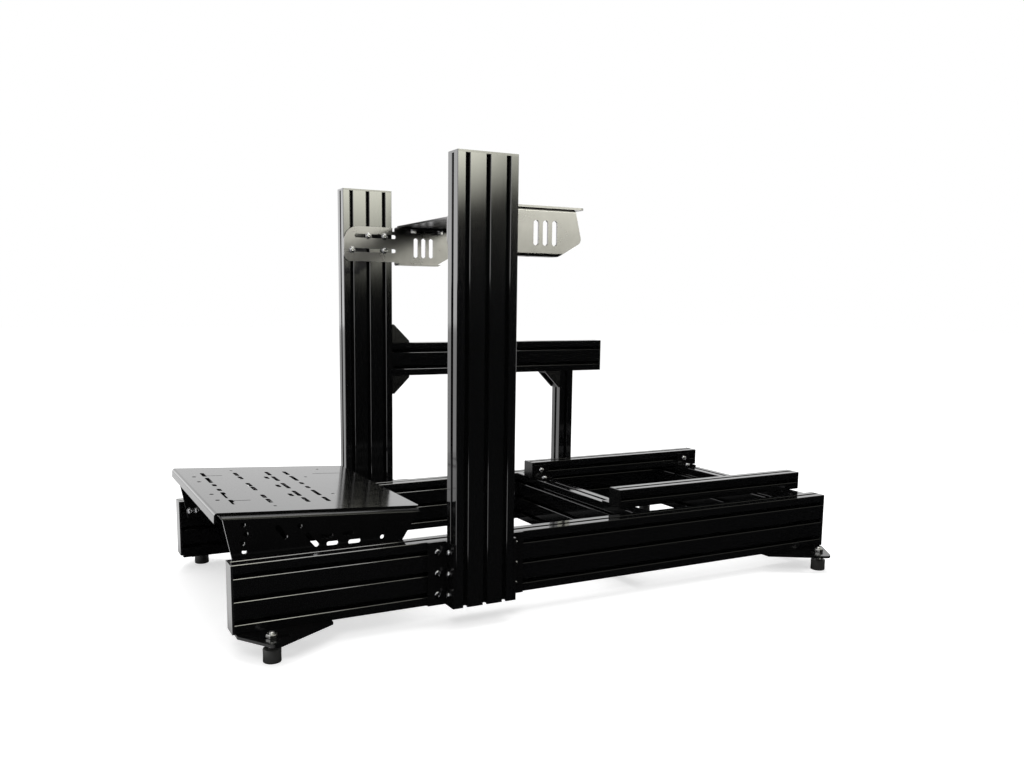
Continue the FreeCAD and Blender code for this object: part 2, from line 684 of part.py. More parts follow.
# Slots across the plate's middle, by row: half length.
PEDAL_MIDDLE_SLOTS = {"three": 30, "short": 13}
# Thin cable slots along the plate: distance from the middle, front end, rear end.
PEDAL_CABLE_SLOTS = [(132, 52, 85), (133, 278, 343)]
# Small round holes: distance behind the lip and from the middle.
PEDAL_SMALL_HOLES = [(115, 190), (252, 95), (305, 187)]


def make_pedal_plate():
    """The sloping pedal plate with its bent front lip. Its own X runs down the slope."""
    body = new_body("pedal_plate")
    section = new_sketch(body, "pedal_plate_section", "XZ_Plane")
    wall, lip, length = "dims.pedal_wall", "dims.pedal_lip", "dims.pedal_length"
    outline(section, [("0", "0"), (wall, "0"), (wall, f"{lip} - {wall}"),
                      (length, f"{lip} - {wall}"), (length, lip), ("0", lip)])
    pad(body, section, "dims.pedal_width", symmetric=True)
    across = Vector(0, 1, 0)
    lip_height, sheet = value(lip), value(wall)
    round_edges(body, "dims.pedal_bend", across, lambda m: near(m.x, 0) and near(m.z, lip_height))
    round_edges(body, "dims.pedal_bend - dims.pedal_wall", across,
                lambda m: near(m.x, sheet) and near(m.z, lip_height - sheet))
    round_edges(body, "dims.pedal_bend", Vector(0, 0, 1), lambda m: near(m.x, value(length)))
    through = f"3 * {lip}"
    side_cuts = []
    for row, slots in PEDAL_SLOTS.items():
        sketch = new_sketch(body, f"pedal_row_{row}")
        for inner, outer in slots:
            slot_across(sketch, f"dims.pedal_row_{row}", str(inner), str(outer),
                        "dims.pedal_slot_width")
        side_cuts.append(pocket(body, sketch, through))
    extras = new_sketch(body, "pedal_cable_slots_and_holes")
    for y, front, rear in PEDAL_CABLE_SLOTS:
        slot_along(extras, str(y), str(front), str(rear), "dims.pedal_cable_slot")
    for x, y in PEDAL_SMALL_HOLES:
        octagon(extras, str(x), str(y), "dims.pedal_small_hole")
    for name in ("inner", "outer"):
        octagon(extras, "dims.pedal_hole_row", f"dims.pedal_hole_{name}",
                   "dims.pedal_slot_width")
    side_cuts.append(pocket(body, extras, through))
    reflect(body, side_cuts, "XZ_Plane")
    middle = new_sketch(body, "pedal_middle_slots")
    for row, half in PEDAL_MIDDLE_SLOTS.items():
        slot_across(middle, f"dims.pedal_row_{row}", str(-half), str(half),
                    "dims.pedal_slot_width")
    pocket(body, middle, through)
    finish(body, station(negative("dims.pedal_overhang")), "0",
           f"{RAIL_TOP} + dims.pedal_tip_height")
    body.Placement = Placement(body.Placement.Base, Rotation(across, value("dims.pedal_tilt")))
    body.setExpression("Placement.Rotation.Angle", "dims.pedal_tilt")


def under_pedal_plate(x):
    """Height above the rails of the pedal plate's underside at a distance behind their ends."""
    rise = "(dims.pedal_lip - dims.pedal_wall) / cos(dims.pedal_tilt)"
    return f"dims.pedal_tip_height + {rise} - ({x} + dims.pedal_overhang) * tan(dims.pedal_tilt)"


# Holes of a pedal bracket: distance behind the rail's end, height above the rail's top.
BRACKET_ROUND_HOLES = [(27, 57), (31, 41), (25, 25), (28, 10), (125, 45), (278, 9), (285, 23)]
# Level slots: middle, height, length.
BRACKET_LEVEL_SLOTS = [(174, 22.5, 22), (214, 22.5, 20), (184, 7.5, 22), (225, 6.5, 24)]
# Sloping slots: upper end's centre and lower end's centre.
BRACKET_SLOPING_SLOTS = [((86, 47), (99, 29)), ((139, 27), (155, 8))]
# Bolts into the rail's upper slot, behind its end.
BRACKET_BOLTS = (19, 34, 262, 277)


def make_pedal_brackets():
    """Bent brackets inside the rails that carry the pedal plate on their sloping flanges."""
    body = new_body("pedal_bracket_left")
    front, rear = "dims.pedal_bracket_front", "dims.pedal_bracket_rear"
    top_front, top_rear = under_pedal_plate(front), under_pedal_plate(rear)
    wall = "dims.pedal_bracket_wall"
    drop = negative("dims.pedal_bracket_drop")
    side = new_sketch(body, "pedal_bracket_side", "XZ_Plane")
    outline(side, [(front, top_front), (rear, top_rear), ("dims.pedal_bracket_heel", drop),
                   ("dims.pedal_bracket_toe", drop)])
    pad(body, side, wall, reverse=True)
    flange = new_sketch(body, "pedal_bracket_top", "XZ_Plane")
    outline(flange, [(front, top_front), (rear, top_rear), (rear, f"{top_rear} - {wall}"),
                     (front, f"{top_front} - {wall}")])
    pad(body, flange, "dims.pedal_bracket_flange", reverse=True)
    slope = Vector(1, 0, -math.tan(math.radians(value("dims.pedal_tilt")))).normalize()
    middle_height = (value(top_front) + value(top_rear)) / 2
    round_edges(body, "dims.pedal_bracket_bend", slope,
                lambda m: near(m.y, 0) and near(m.z, middle_height))
    through, width = f"3 * {wall}", "dims.pedal_slot_width"
    holes = new_sketch(body, "pedal_bracket_holes", "XZ_Plane")
    for x, z in BRACKET_ROUND_HOLES:
        octagon(holes, str(x), str(z), width)
    pocket(body, holes, through)
    slots = new_sketch(body, "pedal_bracket_slots", "XZ_Plane")
    for x, z, length in BRACKET_LEVEL_SLOTS:
        slot_along(slots, str(z), str(x - length / 2), str(x + length / 2), width)
    for (top_x, top_z), (low_x, low_z) in BRACKET_SLOPING_SLOTS:
        slot_between(slots, (str(top_x), str(top_z)), (str(low_x), str(low_z)), width)
    pocket(body, slots, through)
    bolts = new_sketch(body, "pedal_bracket_bolt_holes", "XZ_Plane")
    for x in BRACKET_BOLTS:
        octagon(bolts, str(x), "-dims.unit / 2", "dims.bolt_clearance")
    pocket(body, bolts, through)
    finish(body, station("0"), negative(INNER_FACE), RAIL_TOP)
    mirror_across(body, "pedal_bracket_right")


# Feet

def foot_plate(label, end, inward):
    """A steel plate bolted under a rail's end that reaches outwards to carry a foot."""
    body = new_body(label)
    sketch = new_sketch(body, label + "_outline")
    shoulder = negative("dims.foot_plate_shoulder")
    outline(sketch, [
        (f"{inward} * dims.foot_plate_front", "dims.unit"),
        (f"{inward} * dims.foot_plate_front", shoulder),
        (f"{inward} * dims.foot_plate_apex", negative("dims.foot_plate_reach")),
        (f"{inward} * dims.foot_plate_heel", shoulder),
        (f"{inward} * dims.foot_plate_heel", "dims.unit")])
    pad(body, sketch, "dims.foot_plate_thickness")
    apex = value("dims.foot_plate_reach")
    round_edges(body, "dims.foot_plate_apex_round", Vector(0, 0, 1), lambda m: near(m.y, -apex))
    slot = new_sketch(body, label + "_slot")
    start = f"{inward} * dims.foot_slot_start"
    finish_end = f"{inward} * (dims.foot_slot_start + dims.foot_slot_length)"
    ends = (start, finish_end) if inward > 0 else (finish_end, start)
    slot_along(slot, negative("dims.foot_reach"), *ends, "dims.foot_slot_width")
    for extra in ("0", "dims.foot_bolt_spacing"):
        octagon(slot, f"{inward} * (dims.foot_bolt_start + {extra})", "dims.unit / 2",
                   "dims.bolt_clearance")
    pocket(body, slot, "3 * dims.foot_plate_thickness")
    return finish(body, station(end), negative(OUTER_FACE), "dims.foot_stand")


def hexagon(sketch, width):
    """A nut's outline around the sketch's origin, with its width across the flats."""
    reach = f"{width} / 2 / cos(30)"
    turns = (30, 90, 150, 210, 270, 330)
    outline(sketch, [(f"{reach} * cos({turn})" if turn % 180 != 90 else "0",
                      f"{reach} * sin({turn})") for turn in turns])


def leveling_feet(label):
    """A rail's front and rear feet: a rubber pad on a stud, a nut under the plate and one on it."""
    body = new_body(label)
    pad_top, nut = "dims.foot_pad_height", "dims.foot_nut_height"
    section = new_sketch(body, label + "_pad_section", "XZ_Plane")
    outline(section, [("0", "0"), ("dims.foot_pad_radius", "0"),
                      ("dims.foot_pad_radius", pad_top), ("0", pad_top)])
    turned = body.newObject("PartDesign::Revolution", label + "_pad_turned")
    turned.Profile = section
    turned.ReferenceAxis = (origin_part(body, "Z_Axis"), [""])
    turned.Angle = 360
    section.Visibility = False
    doc.recompute()
    stud = new_sketch(body, label + "_stud")
    stud.setExpression("AttachmentOffset.Base.z", pad_top)
    octagon(stud, "0", "0", "2 * dims.foot_stud_radius")
    stud_length = f"{RAIL_BOTTOM} + {nut} + dims.foot_stud_end - {pad_top}"
    pieces = [turned, pad(body, stud, stud_length)]
    for name, height in (("lower", f"dims.foot_stand - {nut}"), ("upper", RAIL_BOTTOM)):
        sketch = new_sketch(body, f"{label}_{name}_nut")
        sketch.setExpression("AttachmentOffset.Base.z", height)
        hexagon(sketch, "dims.foot_nut_width")
        pieces.append(pad(body, sketch, nut))
    spread = "dims.rail_length - dims.rear_foot_inset - dims.front_foot_inset"
    repeat(body, pieces, "X_Axis", spread, 2)
    across = negative(f"{OUTER_FACE} + dims.foot_reach")
    return finish(body, station("dims.front_foot_inset"), across, "0")


def make_feet():
    for name, end, inward in (("front", "0", 1), ("rear", "dims.rail_length", -1)):
        plate = foot_plate(f"foot_plate_left_{name}", end, inward)
        mirror_across(plate, f"foot_plate_right_{name}")
    mirror_across(leveling_feet("leveling_feet_left"), "leveling_feet_right")


# Building and writing

def check_document():
    """Stops when any object failed, or a sub-part's shape is empty or not valid."""
    for thing in doc.Objects:
        if "Invalid" in thing.State or "Error" in thing.State:
            raise RuntimeError(f"{thing.Label} failed: {thing.State}")
    for node in nodes:
        if node.Shape.isNull() or not node.Shape.isValid():
            raise RuntimeError(f"{node.Label} has no valid shape")


def write_parts():
    os.makedirs("parts", exist_ok=True)
    for node in nodes:
        node.Shape.exportStep(os.path.join("parts", node.Label + ".step"))


make_base_rails()
make_uprights()
make_cross_members()
make_seat_rails()
make_shifter_support()
make_upright_brackets()
make_seat_rail_brackets()
make_gussets()
make_deck_sides()
make_deck_plate()
make_pedal_plate()
make_pedal_brackets()
make_feet()
doc.recompute()
check_document()
write_parts()
print(len(nodes), "nodes")
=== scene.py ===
"""Looks of an open sim racing cockpit frame: black T-slot extrusions, bent plates, bolts and feet.

Lengths are in metres. +X runs to the seat end, +Y to the driver's right and +Z up, from the floor
under the middle of the frame.
"""

import json
import logging
import math
from dataclasses import dataclass, field
from enum import Enum

import bmesh
import bpy
from bmesh.types import BMesh, BMFace, BMVert
from bpy.types import Material, Node, NodeSocket, NodeTree, Object
from mathutils import Matrix, Vector

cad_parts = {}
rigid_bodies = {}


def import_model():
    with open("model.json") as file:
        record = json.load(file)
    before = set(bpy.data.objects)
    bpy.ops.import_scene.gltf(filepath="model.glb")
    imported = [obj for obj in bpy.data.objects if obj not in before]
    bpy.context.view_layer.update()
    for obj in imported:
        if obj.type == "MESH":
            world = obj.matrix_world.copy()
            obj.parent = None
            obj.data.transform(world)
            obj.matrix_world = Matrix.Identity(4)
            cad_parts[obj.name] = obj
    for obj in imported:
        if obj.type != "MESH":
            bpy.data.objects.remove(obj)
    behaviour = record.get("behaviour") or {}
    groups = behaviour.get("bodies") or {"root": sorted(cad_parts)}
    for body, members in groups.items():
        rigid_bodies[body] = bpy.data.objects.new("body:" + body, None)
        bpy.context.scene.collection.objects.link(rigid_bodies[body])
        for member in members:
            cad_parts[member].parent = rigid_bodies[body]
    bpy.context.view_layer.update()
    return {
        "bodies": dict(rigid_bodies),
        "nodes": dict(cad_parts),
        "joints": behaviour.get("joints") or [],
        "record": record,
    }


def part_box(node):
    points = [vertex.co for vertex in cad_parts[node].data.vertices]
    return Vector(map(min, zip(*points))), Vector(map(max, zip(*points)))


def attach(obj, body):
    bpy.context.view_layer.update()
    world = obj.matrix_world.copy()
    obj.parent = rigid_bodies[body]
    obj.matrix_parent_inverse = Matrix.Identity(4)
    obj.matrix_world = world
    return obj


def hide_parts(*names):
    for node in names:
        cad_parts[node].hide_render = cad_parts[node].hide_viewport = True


Pair = tuple[float, float]
Pairs = tuple[Pair, ...]
Triple = tuple[float, float, float]

LOG = logging.getLogger("cockpit")

MM = 0.001
UNIT = 40 * MM
SIDES = (("left", -1), ("right", 1))
ENDS = ("front", "rear")


class Run(Enum):
    """The direction in which an extrusion was drawn through its die."""

    ALONG = "x"
    ACROSS = "y"
    UPRIGHT = "z"


class Facing(Enum):
    """The way a bolt's head points."""

    FORWARD = (-1.0, 0.0, 0.0)
    REARWARD = (1.0, 0.0, 0.0)
    LEFT = (0.0, -1.0, 0.0)
    RIGHT = (0.0, 1.0, 0.0)
    UP = (0.0, 0.0, 1.0)
    DOWN = (0.0, 0.0, -1.0)

    @property
    def vector(self) -> Vector:
        """The direction as a vector."""
        return Vector(self.value)

    @classmethod
    def across(cls, sign: int) -> "Facing":
        """The driver's left for -1 and right for 1."""
        return cls.RIGHT if sign > 0 else cls.LEFT


# Names and faces of the frame's nodes


def on_sides(stem: str) -> list[str]:
    """The names of a left and a right node."""
    return [f"{stem}_{side}" for side, _ in SIDES]


def at_corners(stem: str) -> list[str]:
    """The names of four nodes, at the front and the rear of each side."""
    return [f"{stem}_{side}_{end}" for side, _ in SIDES for end in ENDS]


def inner_reach(box: tuple[Vector, Vector]) -> float:
    """How far the inner face of a box lies from the frame's middle plane."""
    return min(abs(box[0].y), abs(box[1].y))


def outer_reach(box: tuple[Vector, Vector]) -> float:
    """How far the outer face of a box lies from the frame's middle plane."""
    return max(abs(box[0].y), abs(box[1].y))


# Shader helpers


def feed(tree: NodeTree, node: Node, inputs: dict[str | int, object]) -> None:
    """Links or sets some of a node's inputs.

    Args:
        tree: The tree that holds the node.
        node: The node.
        inputs: Sockets to link and values to set, by the input's name or number.
    """
    for key, value in inputs.items():
        if isinstance(value, NodeSocket):
            tree.links.new(value, node.inputs[key])
        else:
            node.inputs[key].default_value = value


def add_node(tree: NodeTree, kind: str, inputs: dict[str | int, object] | None = None,
             **settings: object) -> Node:
    """Adds a node with some of its properties and inputs set.

    Args:
        tree: The tree that takes the node.
        kind: The node's type name.
        inputs: Sockets to link and values to set, by the input's name or number.
        **settings: Properties of the node by name.

    Returns:
        The new node.
    """
    node = tree.nodes.new(kind)
    for name, value in settings.items():
        setattr(node, name, value)
    feed(tree, node, inputs or {})
    return node


def math_node(tree: NodeTree, operation: str, *values: object, clamp: bool = False) -> NodeSocket:
    """The output of a Math node that reads sockets or numbers."""
    return add_node(tree, "ShaderNodeMath", dict(enumerate(values)), operation=operation,
                    use_clamp=clamp).outputs[0]


def noise_node(tree: NodeTree, place: NodeSocket, scale: object, detail: float) -> NodeSocket:
    """The output of a Noise Texture node, from 0 to 1."""
    return add_node(tree, "ShaderNodeTexNoise",
                    {"Vector": place, "Scale": scale, "Detail": detail}).outputs["Fac"]


def mixed(tree: NodeTree, first: object, second: object, share: NodeSocket) -> NodeSocket:
    """The output of a Mix node between two colours."""
    return add_node(tree, "ShaderNodeMix", {"A": first, "B": second, "Factor": share},
                    data_type="RGBA").outputs["Result"]


def object_place(tree: NodeTree) -> NodeSocket:
    """The piece's own coordinates."""
    return add_node(tree, "ShaderNodeTexCoord").outputs["Object"]


def axes(tree: NodeTree, vector: NodeSocket) -> list[NodeSocket]:
    """A vector's X, Y and Z."""
    return list(add_node(tree, "ShaderNodeSeparateXYZ", {0: vector}).outputs)


def new_group(name: str, inputs: tuple[str, ...], outputs: tuple[str, ...]
              ) -> tuple[NodeTree, Node]:
    """Starts a shader node group of numbers.

    Args:
        name: The group's name.
        inputs: Names of its inputs.
        outputs: Names of its outputs.

    Returns:
        The group's tree and its input node.
    """
    tree = bpy.data.node_groups.new(name, "ShaderNodeTree")
    for way, titles in (("INPUT", inputs), ("OUTPUT", outputs)):
        for title in titles:
            tree.interface.new_socket(title, in_out=way, socket_type="NodeSocketFloat")
    return tree, add_node(tree, "NodeGroupInput")


def die_lines_group(run: Run, stretch: float = 0.012, detail: float = 3.0) -> NodeTree:
    """The fine lines that a die leaves along an extrusion.

    Args:
        run: The direction of the lines.
        stretch: How much slower the pattern changes in that direction.
        detail: The pattern's detail.

    Returns:
        A group with the input Fineness, and the outputs Height and Sheen.
    """
    tree, source = new_group(f"die_lines_{run.value}", ("Fineness",), ("Height", "Sheen"))
    spread = []
    for name, axis in zip("xyz", axes(tree, object_place(tree))):
        scaled = math_node(tree, "MULTIPLY", axis, source.outputs["Fineness"])
        spread.append(math_node(tree, "MULTIPLY", scaled, stretch if name == run.value else 1.0))
    place = add_node(tree, "ShaderNodeCombineXYZ", dict(enumerate(spread))).outputs[0]
    lines = noise_node(tree, place, 1.0, detail)
    add_node(tree, "NodeGroupOutput",
             {"Height": math_node(tree, "SUBTRACT", lines, 0.5), "Sheen": lines})
    return tree


def grain_group(grain_detail: float = 2.0, mottle_detail: float = 4.0) -> NodeTree:
    """Fine grain over a coarser mottle, for coated, moulded and rubber surfaces.

    Args:
        grain_detail: Detail of the grain.
        mottle_detail: Detail of the mottle.

    Returns:
        A group with the inputs Grain and Mottle, and the outputs Height and Mottle.
    """
    tree, source = new_group("surface_grain", ("Grain", "Mottle"), ("Height", "Mottle"))
    place = object_place(tree)
    grain = noise_node(tree, place, source.outputs["Grain"], grain_detail)
    mottle = noise_node(tree, place, source.outputs["Mottle"], mottle_detail)
    add_node(tree, "NodeGroupOutput",
             {"Height": math_node(tree, "SUBTRACT", grain, 0.5), "Mottle": mottle})
    return tree


def dust_group(scale: float = 70.0, detail: float = 6.0) -> NodeTree:
    """Thin dust that settles on faces that look up.

    Args:
        scale: Scale of its patches.
        detail: Their detail.

    Returns:
        A group with the input Amount and the output Mask.
    """
    tree, source = new_group("settled_dust", ("Amount",), ("Mask",))
    normal = add_node(tree, "ShaderNodeNewGeometry").outputs["Normal"]
    upward = math_node(tree, "MAXIMUM", axes(tree, normal)[2], 0.0)
    patchy = math_node(tree, "MULTIPLY", upward,
                       noise_node(tree, object_place(tree), scale, detail))
    add_node(tree, "NodeGroupOutput", {
        "Mask": math_node(tree, "MULTIPLY", patchy, source.outputs["Amount"], clamp=True)})
    return tree


# Finishes


@dataclass
class Workshop:
    """The shared shader groups, each built once."""

    lines: dict[Run, NodeTree] = field(default_factory=dict)
    grain: NodeTree | None = None
    dust: NodeTree | None = None

    def build(self) -> None:
        """Builds every group."""
        self.lines = {run: die_lines_group(run) for run in Run}
        self.grain = grain_group()
        self.dust = dust_group()


@dataclass(frozen=True)
class Finish:
    """A finish of one colour with its own gloss, which a texture varies.

    Attributes:
        name: The material's name.
        colour: Linear red, green and blue.
        roughness: The plain roughness.
        metallic: How metallic the surface is.
        specular: The strength of the plain reflection.
        bump: The height of the texture in metres.
        spread: How far the texture moves the roughness.
        tones: The colour's shares at the texture's lowest and highest.
        dusty: How much dust lies on it.
        dust_colour: Linear red, green and blue of the dust.
    """

    name: str
    colour: Triple
    roughness: float
    metallic: float = 0.0
    specular: float = 0.5
    bump: float = 0.000002
    spread: float = 0.05
    tones: Pair = (0.8, 1.25)
    dusty: float = 0.0
    dust_colour: Triple = (0.22, 0.215, 0.2)

    def texture(self, tree: NodeTree, shop: Workshop) -> Node:
        """Places the finish's own texture, whose outputs are a height and a pattern."""
        raise NotImplementedError

    def build(self, shop: Workshop) -> Material:
        """Builds the material and lets its texture move the bump, the gloss and the colour.

        Args:
            shop: The shared groups.

        Returns:
            The material.
        """
        material = bpy.data.materials.new(self.name)
        material.use_nodes = True
        tree = material.node_tree
        height, pattern = self.texture(tree, shop).outputs
        bump = add_node(tree, "ShaderNodeBump",
                        {"Distance": self.bump, "Strength": 1.0, "Height": height})
        centred = math_node(tree, "SUBTRACT", pattern, 0.5)
        moved = math_node(tree, "MULTIPLY", centred, self.spread)
        low, high = ((*(value * share for value in self.colour), 1.0) for share in self.tones)
        colour = mixed(tree, low, high, pattern)
        if self.dusty:
            dust = add_node(tree, "ShaderNodeGroup", {"Amount": self.dusty}, node_tree=shop.dust)
            colour = mixed(tree, colour, (*self.dust_colour, 1.0), dust.outputs["Mask"])
        shader = tree.nodes["Principled BSDF"]
        feed(tree, shader, {"Base Color": (*self.colour, 1.0), "Roughness": self.roughness,
                            "Metallic": self.metallic, "Specular IOR Level": self.specular})
        feed(tree, shader, {
            "Base Color": colour, "Normal": bump.outputs[0],
            "Roughness": math_node(tree, "ADD", moved, self.roughness, clamp=True)})
        return material


@dataclass(frozen=True)
class Anodised(Finish):
    """Black anodised extrusion with close lines along its run."""

    run: Run = Run.ALONG
    fineness: float = 900.0

    def texture(self, tree: NodeTree, shop: Workshop) -> Node:
        """Places the die lines of the extrusion's direction."""
        return add_node(tree, "ShaderNodeGroup", {"Fineness": self.fineness},
                        node_tree=shop.lines[self.run])


@dataclass(frozen=True)
class Grained(Finish):
    """A coated, moulded or rubber surface, with the scales of its grain and mottle."""

    grain: float = 1800.0
    mottle: float = 30.0

    def texture(self, tree: NodeTree, shop: Workshop) -> Node:
        """Places the grain."""
        return add_node(tree, "ShaderNodeGroup", {"Grain": self.grain, "Mottle": self.mottle},
                        node_tree=shop.grain)


@dataclass
class Finishes:
    """Every finish of the frame.

    Attributes:
        extrusion: The extrusions, by the direction in which they run.
        deck: The wheel deck and its side plates.
        pedals: The pedal plate.
        plate: The brackets, the angles and the foot plates.
        gusset: The gussets of the shifter arm and its post.
        cap: The caps of the base rails and the uprights.
        dull_cap: The caps of the seat rails and the arm.
        rubber: The feet's pads.
        bolt: The black bolts, washers and deck nuts.
        stud: The feet's studs and nuts.
    """

    extrusion: dict[Run, Material] = field(default_factory=dict)
    deck: Material | None = None
    pedals: Material | None = None
    plate: Material | None = None
    gusset: Material | None = None
    cap: Material | None = None
    dull_cap: Material | None = None
    rubber: Material | None = None
    bolt: Material | None = None
    stud: Material | None = None

    def build(self, shop: Workshop) -> None:
        """Builds the materials.

        Args:
            shop: The shared groups.
        """
        for run in Run:
            self.extrusion[run] = Anodised(
                f"black_anodised_{run.value}", (0.0032, 0.0033, 0.0035), 0.08, specular=1.0,
                bump=0.000001, run=run).build(shop)
        self.deck = Grained(
            "black_satin_coat", (0.186, 0.183, 0.186), 0.28, metallic=1.0).build(shop)
        self.pedals = Grained(
            "black_pedal_coat", (0.004, 0.004, 0.004), 0.12, specular=1.0).build(shop)
        self.plate = Grained(
            "black_bracket_coat", (0.003, 0.003, 0.0031), 0.16, specular=0.4).build(shop)
        self.gusset = Grained(
            "black_coated_casting", (0.004, 0.004, 0.0042), 0.24, specular=0.3, bump=0.00001,
            spread=0.1, grain=900.0, mottle=60.0).build(shop)
        self.cap = Grained(
            "black_cap_plastic", (0.008, 0.008, 0.0084), 0.14, specular=1.0, grain=2200.0,
            mottle=80.0).build(shop)
        self.dull_cap = Grained(
            "dull_cap_plastic", (0.004, 0.004, 0.0042), 0.24, specular=0.25, bump=0.000004,
            grain=2200.0, mottle=80.0).build(shop)
        self.rubber = Grained(
            "black_rubber", (0.026, 0.026, 0.025), 0.55, bump=0.00003, spread=0.12, dusty=0.12,
            grain=1500.0, mottle=90.0).build(shop)
        self.bolt = Grained(
            "black_bolt_steel", (0.34, 0.34, 0.35), 0.24, metallic=1.0, bump=0.000003,
            spread=0.08, grain=3000.0, mottle=200.0).build(shop)
        self.stud = Grained(
            "zinc_steel", (0.5, 0.5, 0.49), 0.3, metallic=1.0, bump=0.000004, spread=0.12,
            grain=2500.0, mottle=150.0).build(shop)


# Mesh helpers


def smooth(piece: Object, limit: float) -> None:
    """Shades a piece smooth, apart from its sharp edges.

    Args:
        piece: The piece.
        limit: Edges that turn by more degrees stay sharp.
    """
    mesh = bmesh.new()
    mesh.from_mesh(piece.data)
    for face in mesh.faces:
        face.smooth = True
    for edge in mesh.edges:
        turn = edge.calc_face_angle(math.pi) if len(edge.link_faces) == 2 else math.pi
        edge.smooth = turn < math.radians(limit)
    mesh.to_mesh(piece.data)
    mesh.free()


def shown(name: str, mesh: BMesh, material: Material,
          limit: float | None = None) -> Object:
    """Makes an object of a finished bmesh and lets it ride on the frame.

    Args:
        name: The piece's name.
        mesh: The finished mesh, which is freed.
        material: The piece's finish.
        limit: The piece is shaded smooth and edges that turn by more degrees stay sharp, or
            None to leave it flat.

    Returns:
        The object.
    """
    bmesh.ops.recalc_face_normals(mesh, faces=mesh.faces)
    data = bpy.data.meshes.new(name)
    mesh.to_mesh(data)
    mesh.free()
    data.materials.append(material)
    piece = bpy.data.objects.new(name, data)
    bpy.context.scene.collection.objects.link(piece)
    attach(piece, "root")
    if limit:
        smooth(piece, limit)
    LOG.info("%s: %d faces", name, len(data.polygons))
    return piece


def grow(mesh: BMesh, face: BMFace, rise: float, scale: float) -> BMFace:
    """Extrudes a level face upwards and scales it about its own axis.

    Args:
        mesh: The mesh.
        face: The face on top.
        rise: How far it moves up.
        scale: How much it grows or shrinks.

    Returns:
        The new top face.
    """
    made = bmesh.ops.extrude_discrete_faces(mesh, faces=[face])["faces"][0]
    bmesh.ops.translate(mesh, verts=made.verts, vec=(0.0, 0.0, rise))
    bmesh.ops.scale(mesh, verts=made.verts, vec=(scale, scale, 1.0))
    return made


def stack(mesh: BMesh, profile: Pairs | list[Pair], segments: int,
          turned: bool = False) -> BMFace:
    """Builds a turned solid from level rings, bottom to top.

    Args:
        mesh: The mesh that takes the solid.
        profile: Radius and height of each ring.
        segments: Points in each ring.
        turned: Whether the rings are turned by half a segment.

    Returns:
        The top face.
    """
    radius, height = profile[0]
    turn = Matrix.Rotation(math.pi / segments if turned else 0.0, 4, "Z")
    ring = bmesh.ops.create_circle(
        mesh, cap_ends=True, segments=segments, radius=radius,
        matrix=Matrix.Translation((0.0, 0.0, height)) @ turn)
    face = ring["verts"][0].link_faces[0]
    for (before, low), (after, high) in zip(profile, profile[1:]):
        face = grow(mesh, face, high - low, after / before)
    return face


def hex_nut(mesh: BMesh, flats: float, bottom: float, height: float,
            bevel: float = 0.8 * MM, bevelled: float = 0.93) -> None:
    """Adds a hexagonal nut of a width across the flats, with bevels that leave a share of it."""
    reach = flats / 2 / math.cos(math.pi / 6)
    stack(mesh, [(reach * bevelled, bottom), (reach, bottom + bevel),
                 (reach, bottom + height - bevel), (reach * bevelled, bottom + height)],
          segments=6, turned=True)


def spread_copies(mesh: BMesh, places: list[Matrix]) -> None:
    """Repeats everything in a mesh at several places and removes the first.

    Args:
        mesh: The mesh with one piece about its origin.
        places: Where the copies stand.
    """
    first = mesh.verts[:] + mesh.edges[:] + mesh.faces[:]
    for place in places:
        made = bmesh.ops.duplicate(mesh, geom=first)["geom"]
        points = [item for item in made if isinstance(item, BMVert)]
        bmesh.ops.transform(mesh, matrix=place, verts=points)
    bmesh.ops.delete(mesh, geom=[item for item in first if isinstance(item, BMVert)],
                     context="VERTS")


def stand_at(point: Vector, facing: Vector, turn: float = 0.0) -> Matrix:
    """The matrix of a place whose own +Z points in a direction, turned about that axis."""
    tilt = Vector((0.0, 0.0, 1.0)).rotation_difference(facing).to_matrix().to_4x4()
    return Matrix.Translation(point) @ tilt @ Matrix.Rotation(turn, 4, "Z")


